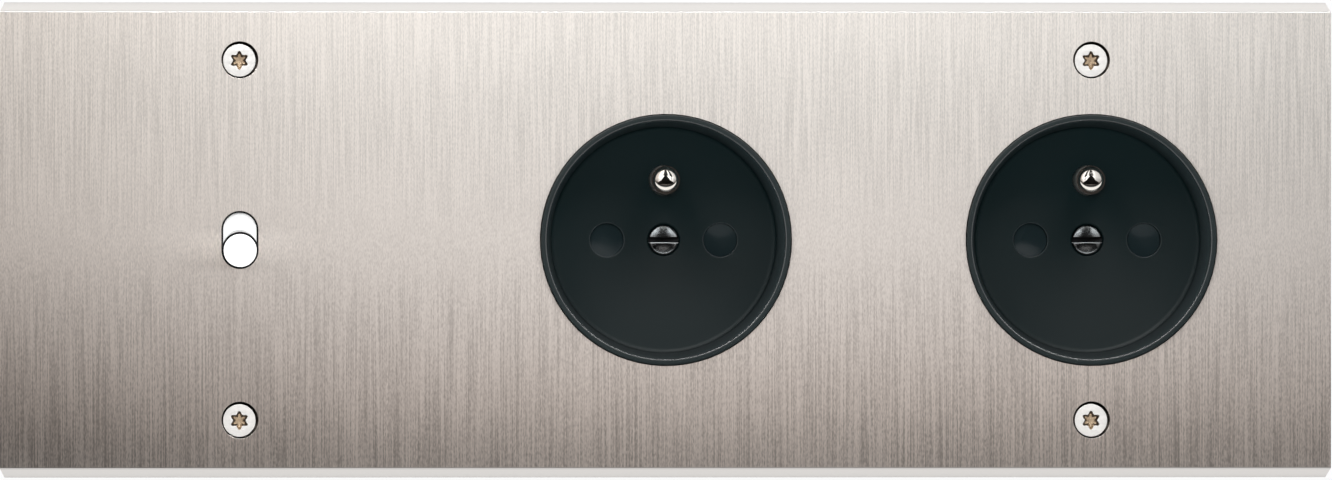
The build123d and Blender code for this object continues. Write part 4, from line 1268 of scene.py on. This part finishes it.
@dataclass
class CentreScrew:
    """Slotted cheese-head screw, its head worn and slightly domed.

    Attributes:
        prefix: Name of the socket.
        axis: X and Z of the screw.
        radius: Radius of the head.
        height: Height of the head.
        dome: Height of its crown above the shoulder.
        slot_half: Half width of the slot, without its chamfers.
        slot_depth: From the crown to the lower edge of the slot's walls.
        slot_lift: How far the bed of the slot stands above that edge.
        chamfer: Width of the slot's broken edges.
        shank: Radius of the shank.
        shank_sides: Number of sides of the shank.
        arc_steps: Number of sides of half of the head.
    """

    prefix: str
    axis: Pair
    radius: float = 2.6 * MM
    height: float = 1.4 * MM
    dome: float = 0.48 * MM
    slot_half: float = 0.41 * MM
    slot_depth: float = 0.8 * MM
    slot_lift: float = 0.1 * MM
    chamfer: float = 0.1 * MM
    shank: float = 1.75 * MM
    shank_sides: int = 48
    arc_steps: int = 40

    def build(self) -> None:
        """Build the two halves of the head, the bed of the slot and the shank."""
        node = f"{self.prefix}_centre_screw"
        low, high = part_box(node)
        form = Form(f"{self.prefix}_screw", CENTRE_ZINC)
        levels = [(share, self.dome * share**2) for share in (0.2, 0.35, 0.5, 0.65, 0.8, 0.92)]
        levels += [(0.975, self.dome * 1.15), (1.0, self.dome * 1.7), (1.0, self.height)]
        for side in (-1, 1):
            rows = [self._arc(form, self.radius * share, low.y + drop, side) for share, drop in levels]
            form.chain(rows, closed=False)
            form.face(rows[0])
            brink = [row[0] for row in reversed(rows[:-1])] + [row[-1] for row in rows[:-1]]
            wall = self._moved(form, brink, self.chamfer * 0.5, -side * self.chamfer)
            # Painted light in the slot: its walls get painted shade; of its chamfers, the upper one gets
            # painted shade and the lower one a painted highlight, as light falls from above.
            form.look = SLOT_PAINTED_SHADE if side > 0 else SLOT_EDGE_PAINTED_HIGHLIGHT
            form.bridge(brink, wall, closed=False)
            form.look = SLOT_PAINTED_SHADE
            form.bridge(wall, self._moved(form, wall, self.slot_depth - self.dome, 0.0), closed=False)
            form.look = CENTRE_ZINC
        bottom = low.y + self.slot_depth - self.slot_lift
        # Painted shade on the bed of the slot.
        form.look = SLOT_PAINTED_SHADE
        bed = rectangle((-self.radius, -self.slot_half), (self.radius, self.slot_half))
        form.face(form.ring([(self.axis[0] + x, bottom, z) for x, z in bed]))
        form.look = CENTRE_ZINC
        under = low.y + self.height
        shank = [(self.radius, under), (self.shank, under), (self.shank, high.y), (0, high.y)]
        form.turn(shank, self.axis, self.shank_sides)
        form.build("plate_assembly", "centre_zinc", node)

    def _arc(self, form: Form, radius: float, y: float, side: int) -> list[int]:
        """Arc of the head on one side of the slot, from chord to chord.

        Args:
            form: Form that it goes into.
            radius: Radius of the arc.
            y: Its place along Y.
            side: 1 above the slot and -1 below it.

        Returns:
            Numbers of its points.
        """
        half = self.slot_half + self.chamfer
        first = math.atan2(half, math.sqrt(max(radius**2 - half**2, 0)))
        turns = [first + (math.pi - 2 * first) * i / self.arc_steps for i in range(self.arc_steps + 1)]
        return form.ring([around(self.axis, radius, side * t, y) for t in turns])

    def _moved(self, form: Form, points: list[int], deeper: float, higher: float) -> list[int]:
        """Copies of points of a form, moved along Y and Z."""
        places = [form.points[i] for i in points]
        return form.ring([(x, y + deeper, z + higher) for x, y, z in places])


# ---------------------------------------------------------------- switch and mechanisms
@dataclass
class LeverSwitch:
    """Short white lever in its black guide, and the contact work behind it."""

    pivot_depth: float = 9.5 * MM
    reach: float = 22.5 * MM
    tilt: float = 4.45
    end_inner: float = 2.75 * MM
    end_outer: float = 3.05 * MM
    end_set: float = 0.05 * MM
    end_grip: float = 0.4 * MM
    end_length: float = 1.3 * MM
    end_round: float = 0.06 * MM
    end_sides: int = 96
    edge: float = 0.15 * MM
    looks: tuple[tuple[Finish, tuple[str, ...]], ...] = (
        (WHITE, ("toggle_lever", "lever_shield")),
        (BLACK, ("lever_guide",)),
        (NYLON, ("detent_plunger",)),
        (SPRING, ("lever_pivot_pin", "rocker_pin")),
        (COPPER, ("contact_rocker",)),
        (SILVER, ("rocker_pads", "fixed_pads")),
        (BRASS, ("rocker_support", "upper_fixed_contact", "lower_fixed_contact", "switch_terminal_cages")),
        (LIGHT_GREY, ("switch_housing", "switch_cover")),
        (ZINC, ("switch_strap", "switch_cover_screws", "switch_terminal_clamps", "switch_terminal_screws")),
    )

    def __post_init__(self) -> None:
        """Set the pivot and the lean of the lever at rest."""
        self.pivot = Vector((0, self.pivot_depth, 0))
        self.lean = Matrix.Rotation(math.radians(self.tilt), 4, "X")

    def build(self) -> None:
        """Dress the nodes of the switch, and build the lever's end ring and the plunger's coil."""
        for finish, nodes in self.looks:
            dress(finish, *nodes)
        soften(self.edge, "switch_housing", "switch_cover")
        self._ring()
        self._coil()

    def _coil(self) -> None:
        """Plunger's spring, as a copy of the CAD spring in its place."""
        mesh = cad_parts["plunger_spring"].data.copy()
        mesh.materials.clear()
        mesh.materials.append(SPRING.material())
        piece = hang("plunger_coil", mesh)
        along = self.lean @ Vector((0, 1, 0))
        reaches = [(point.co - self.pivot).dot(along) for point in mesh.vertices]
        ends = (tuple(self.pivot + along * reach) for reach in (min(reaches), max(reaches)))
        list(ends)
        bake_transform(piece)
        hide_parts("plunger_spring")
        log.info("plunger_coil: blended from lever to plunger")

    def _ring(self) -> None:
        """Ring that grips the rim of the lever's end, square to the lever."""
        low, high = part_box("lever_tip_band")
        tip = -self.reach
        profile = [
            (self.end_inner, tip + self.end_grip),
            (self.end_inner, tip + self.end_set),
            (self.end_outer, tip + self.end_set),
            (self.end_outer, tip + self.end_set + self.end_length),
            (self.end_inner, tip + self.end_set + self.end_length),
        ]
        form = Form("lever_end_ring", BLACK)
        first, last = form.turn(eased(profile, self.end_round), (0.0, 0.0), self.end_sides)
        form.bridge(last, first)
        middle = Vector(((low.x + high.x) / 2, 0, 0))
        place = Matrix.Translation(self.pivot + middle) @ self.lean
        form.points = [tuple(place @ Vector(p)) for p in form.points]
        form.build("lever", "black_moulding", "lever_tip_band")


@dataclass
class Mechanism:
    """Housing, contacts and terminals behind one socket."""

    prefix: str
    edge: float = 0.15 * MM
    looks: tuple[tuple[Finish, tuple[str, ...]], ...] = (
        (BASE_GREY, ("base", "cover")),
        (BRASS, ("earth_strap", "left_contact", "right_contact", "terminal_cages")),
        (ZINC, ("strap", "cover_screws", "terminal_clamps", "terminal_screws")),
    )

    def build(self) -> None:
        """Dress every node of the mechanism."""
        for finish, names in self.looks:
            dress(finish, *(f"{self.prefix}_{name}" for name in names))
        soften(self.edge, f"{self.prefix}_base", f"{self.prefix}_cover")


@dataclass
class Support:
    """Steel frame behind the plate, with its small screws and the earthing tab."""

    plated: tuple[str, ...] = ("support_frame", "module_screws", "earth_tab_rivet")

    def build(self) -> None:
        """Dress every node of the support."""
        dress(ZINC, *self.plated)
        dress(TINNED, "earth_tab")


# ---------------------------------------------------------------- studio
def mirror_only(name: str, mesh: bpy.types.Mesh) -> None:
    """Add a piece of the studio that only reflections see.

    Args:
        name: Its name.
        mesh: Its mesh.
    """
    piece = hang(name, mesh)
    piece.visible_camera = piece.visible_diffuse = False
    piece.visible_shadow = piece.visible_transmission = False
    piece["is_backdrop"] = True


@dataclass(frozen=True)
class Card:
    """Dark card close in front of a bright part, that only reflections see.

    Its outline is the right half, from the bottom to the top, in millimetres from the part's middle.
    """

    part: str
    gap: float
    half: Profile

    def build(self, prefix: str) -> None:
        """Build the card of one socket.

        Args:
            prefix: Name of the socket.
        """
        node = f"{prefix}_{self.part}"
        low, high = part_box(node)
        x, z = (low.x + high.x) / 2, (low.z + high.z) / 2
        outline = [(-a, b) for a, b in self.half] + [(a, b) for a, b in reversed(self.half) if a]
        mesh = sheet(f"card_{node}", [(x + a * MM, low.y - self.gap, z + b * MM) for a, b in outline])
        mesh.materials.append(CARD_BLACK.material())
        mirror_only(f"card_{node}", mesh)


@dataclass
class Reflector:
    """Board in front of the plate that only reflections see: its tone falls off downwards and sideways.

    Attributes:
        distance: From the plate's face to the board.
        half_width: Half width of the board.
        top: Height of its upper edge.
        bottom: Height of its lower edge.
        peak: Strength of the glow, by which the tones are divided.
        middle: X about which it falls off sideways.
        corner: How much darker its lower left corner is.
        corner_height: Heights at which the dark of the corner begins and is full.
        corner_reach: X at which the dark of the corner begins and is full.
        gap_foot: Heights at which the dark gaps are full and begin.
        gap_rise: Heights between which the gaps widen.
        gap_width: Half width of a gap below and above those heights.
        gap_edge: Where the dark of a gap starts to fade and where it ends, in half widths.
        warm: Tint along X.
        cards: Dark cards in front of each socket.
        tones: Tones from the bottom to the top, by height.
        sides: How much is left of them away from the middle.
    """

    distance: float = 0.08
    half_width: float = 0.4
    top: float = 0.3
    bottom: float = -0.35
    peak: float = 1.8
    middle: float = 0.007
    corner: float = 0.9
    corner_height: Pair = (0.0, -0.042)
    corner_reach: Pair = (-0.055, -0.125)
    gap_foot: Pair = (0.014, 0.004)
    gap_rise: Pair = (0.047, 0.06)
    gap_width: Pair = (0.004, 0.028)
    gap_edge: Pair = (0.7, 1.3)
    warm: tuple[tuple[float, Colour], ...] = ((-0.15, (1.0, 0.93, 0.88)), (-0.06, (1.0, 1.0, 1.0)))
    cards: tuple[Card, ...] = (
        Card("earth_pin", 8 * MM, ((0, -5.5), (15, -6.5), (15, -4.5), (5, 0), (1.5, 5))),
        Card(
            "centre_screw",
            12 * MM,
            ((3.5, -5.2), (4.5, -8), (10, -8), (10, -1.5), (5.5, -1.5), (5.5, 3), (4, 5), (4, 13)),
        ),
    )
    tones: tuple[tuple[float, Colour], ...] = (
        (-0.132, (1.7, 1.62, 1.5)),
        (-0.118, (0.03, 0.03, 0.03)),
        (-0.052, (0.03, 0.03, 0.03)),
        (-0.042, (0.25, 0.228, 0.217)),
        (-0.036, (0.42, 0.386, 0.368)),
        (-0.027, (0.72, 0.665, 0.64)),
        (-0.013, (0.90, 0.87, 0.86)),
        (0.0, (1.12, 1.11, 1.11)),
        (0.023, (1.22, 1.235, 1.24)),
        (0.037, (1.50, 1.53, 1.54)),
        (0.050, (1.75, 1.78, 1.79)),
        (0.060, (1.75, 1.75, 1.74)),
    )
    sides: Profile = ((0.0, 1.0), (0.055, 0.97), (0.085, 0.87), (0.105, 0.7), (0.13, 0.5), (0.2, 0.4))

    def build(self) -> None:
        """Build the board with its glowing surface, and the cards."""
        low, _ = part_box("faceplate")
        corners = rectangle((-self.half_width, self.bottom), (self.half_width, self.top))
        mesh = sheet("reflector", [(x, low.y - self.distance, z) for x, z in corners])
        mesh.materials.append(self._surface())
        mirror_only("reflector", mesh)
        for prefix in SOCKETS:
            for card in self.cards:
                card.build(prefix)

    def _surface(self) -> bpy.types.Material:
        """Glow with the tones of the board.

        Returns:
            The material.
        """
        graph = Graph(bpy.data.materials.new("reflector"))
        x, z = graph.part("X"), graph.part("Z")
        upright = graph.ramp(z, self.tones, self.peak)
        across = graph.ramp(graph.away(x, self.middle), [(reach, (v, v, v)) for reach, v in self.sides])
        tinted = graph.tint(graph.tint(upright, across), graph.ramp(x, self.warm))
        left = graph.maths("MULTIPLY", graph.rise(x, *self.corner_reach), self.corner)
        corner = graph.maths("MULTIPLY", graph.rise(z, *self.corner_height), left)
        lit = graph.maths("MULTIPLY", self._gaps(graph, x, z), graph.maths("SUBTRACT", 1.0, corner))
        glow = graph.glow(graph.tint(tinted, lit), self.peak)
        graph.join(glow, graph.out.inputs["Surface"])
        return graph.owner

    def _gaps(self, graph: Graph, x: Value, z: Value) -> Value:
        """Narrow dark gap in front of each socket, from the height of its earth pin upwards.

        Args:
            graph: Graph of the material.
            x: Socket with the place along X.
            z: Socket with the height.

        Returns:
            The socket with the share that is lit.
        """
        width = graph.spread(z, *self.gap_width, *self.gap_rise)
        beside = []
        for prefix in SOCKETS:
            low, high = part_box(f"{prefix}_well")
            away = graph.away(x, (low.x + high.x) / 2)
            beside.append(graph.rise(graph.maths("DIVIDE", away, width), *self.gap_edge))
        below = graph.rise(z, *self.gap_foot)
        return graph.maths("MAXIMUM", below, graph.maths("MULTIPLY", *beside))


@dataclass(frozen=True)
class Lamp:
    """Soft rectangular lamp that faces the object, for plain light only or for highlights only."""

    name: str
    place: Point
    size: Pair
    power: float
    highlights: bool = False

    def build(self) -> None:
        """Hang the lamp."""
        data = bpy.data.lights.new(self.name, "AREA")
        data.shape = "RECTANGLE"
        data.size, data.size_y = self.size
        data.energy = self.power
        lamp = hang(self.name, data)
        lamp.location = self.place
        lamp.rotation_euler = (-Vector(self.place)).to_track_quat("-Z", "Y").to_euler()
        lamp.visible_camera = False
        lamp.visible_glossy = self.highlights
        lamp.visible_diffuse = not self.highlights


@dataclass
class Studio:
    """Pale floor, plain room, soft lamps and a long lens.

    Attributes:
        floor_gap: From the plate's lower edge down to the floor.
        floor_half: Half width of the floor.
        floor_roughness: Its roughness.
        floor_glow: Strength of its own light.
        floor_shades: Darker and lighter shade of the floor.
        floor_white: Distances at which the floor begins to turn white and is white.
        floor_tones: Tone of the floor in reflections, by its distance in front of the plate.
        room: Grey of the room.
        room_turn: Y of the direction where the grey ends, and where the white behind the object is full.
        lens: Focal length in millimetres.
        sensor: Width of the sensor in millimetres.
        seen_width: Width that the camera sees at the object.
        yaw: Turn of the camera to the left, in degrees.
        aim: Point that the camera looks at.
        clip: Nearest and farthest distance that it sees.
        lamps: The lamps.
    """

    floor_gap: float = 0.0055
    floor_half: float = 3.0
    floor_roughness: float = 0.7
    floor_glow: float = 0.3
    floor_shades: Pair = (0.86, 0.9)
    floor_white: Pair = (0.15, 0.45)
    floor_tones: Profile = (
        (-0.05, 0.85),
        (0.003, 0.85),
        (0.004, 0.1),
        (0.011, 0.1),
        (0.012, 1.0),
        (0.042, 1.0),
        (0.049, 0.03),
    )
    room: float = 0.18
    room_turn: Pair = (-0.1, 0.1)
    lens: float = 500.0
    sensor: float = 36.0
    seen_width: float = 0.222
    yaw: float = 1.65
    aim: Point = (0.0, -0.005, 0.0)
    clip: Pair = (0.1, 100.0)
    lamps: tuple[Lamp, ...] = (
        Lamp("front", (-0.08, -2.8, 0.1), (0.3, 0.3), 80.0),
        Lamp("left", (-1.0, -0.35, 0.1), (0.5, 0.5), 3.0),
        Lamp("right", (1.0, -0.35, 0.1), (0.5, 0.5), 3.0),
        Lamp("lever_side", (-1.0, -0.03, 0.0), (0.03, 0.5), 10.0),
        Lamp("strip", (0.0, -0.035, 0.3), (0.9, 0.04), 3.0, highlights=True),
        Lamp("top", (0.0, -0.5, 0.9), (0.8, 0.5), 1.8),
        Lamp("left_box", (-0.16, -0.3, 0.34), (0.16, 0.2), 3.55, highlights=True),
        Lamp("right_box", (0.16, -0.3, 0.34), (0.16, 0.2), 3.55, highlights=True),
    )

    def build(self) -> None:
        """Set up floor, room, reflector, lamps and camera."""
        self._floor()
        self._room()
        Reflector().build()
        for lamp in self.lamps:
            lamp.build()
        self._camera()
        log.info("studio: ready")

    def _floor(self) -> None:
        """Pale floor below the plate, with plain tones in reflections and white towards the horizon."""
        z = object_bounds()[0].z - self.floor_gap
        half = self.floor_half
        mesh = sheet("studio_floor", [(x, y, z) for x, y in rectangle((-half, -half), (half, half))])
        graph = Graph(bpy.data.materials.new("studio_floor"))
        put(graph.shader, Roughness=self.floor_roughness)
        put(graph.shader, Emission_Color=(1, 1, 1, 1), Emission_Strength=self.floor_glow)
        graph.blend(graph.noise(4), *((tone, tone, tone) for tone in self.floor_shades))
        path = graph.add("LightPath")
        before = graph.maths("SUBTRACT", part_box("faceplate")[0].y, graph.part("Y"))
        mirrored = graph.glow(graph.ramp(before, [(reach, (v, v, v)) for reach, v in self.floor_tones]))
        near = graph.layer(path.outputs["Is Glossy Ray"], graph.shader.outputs["BSDF"], mirrored)
        reach = graph.add("VectorMath", operation="LENGTH")
        graph.join(graph.coords.outputs["Object"], reach.inputs[0])
        far = graph.rise(reach.outputs["Value"], *self.floor_white)
        seen = graph.maths("MULTIPLY", far, path.outputs["Is Camera Ray"])
        graph.join(graph.layer(seen, near, graph.glow()), graph.out.inputs["Surface"])
        mesh.materials.append(graph.owner)
        hang("studio_floor", mesh)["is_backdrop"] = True

    def _room(self) -> None:
        """Plain grey room, with white behind the object."""
        world = bpy.data.worlds.new("room")
        bpy.context.scene.world = world
        graph = Graph(world)
        path = graph.add("LightPath")
        behind = graph.rise(graph.part("Y", "Generated"), *self.room_turn)
        mirrored = graph.maths("ADD", path.outputs["Is Glossy Ray"], path.outputs["Is Transmission Ray"])
        white = graph.maths("ADD", graph.maths("MULTIPLY", mirrored, behind), path.outputs["Is Camera Ray"])
        graph.join(graph.spread(white, self.room, 1.0, 0.0, 1.0), graph.shader.inputs["Color"])

    def _camera(self) -> None:
        """Long lens, a little to the left of straight on."""
        data = bpy.data.cameras.new("camera")
        data.lens, data.sensor_width = self.lens, self.sensor
        data.clip_start, data.clip_end = self.clip
        distance = self.seen_width * self.lens / self.sensor
        turn = math.radians(self.yaw)
        back = Vector((-math.sin(turn), -math.cos(turn), 0))
        camera = hang("camera", data)
        camera.location = Vector(self.aim) + back * distance
        camera.rotation_euler = (-back).to_track_quat("-Z", "Y").to_euler()
        bpy.context.scene.camera = camera
        bpy.context.scene.view_settings.view_transform = "Standard"


def main() -> None:
    """Build the object and its studio in order."""
    logging.basicConfig(level=logging.INFO, format="%(message)s")
    WallPlate().build()
    PlateScrews().build()
    for prefix in SOCKETS:
        Socket(prefix).build()
        Mechanism(prefix).build()
    LeverSwitch().build()
    Support().build()
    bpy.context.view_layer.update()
    Studio().build()


if __name__ == "__main__":
    main()
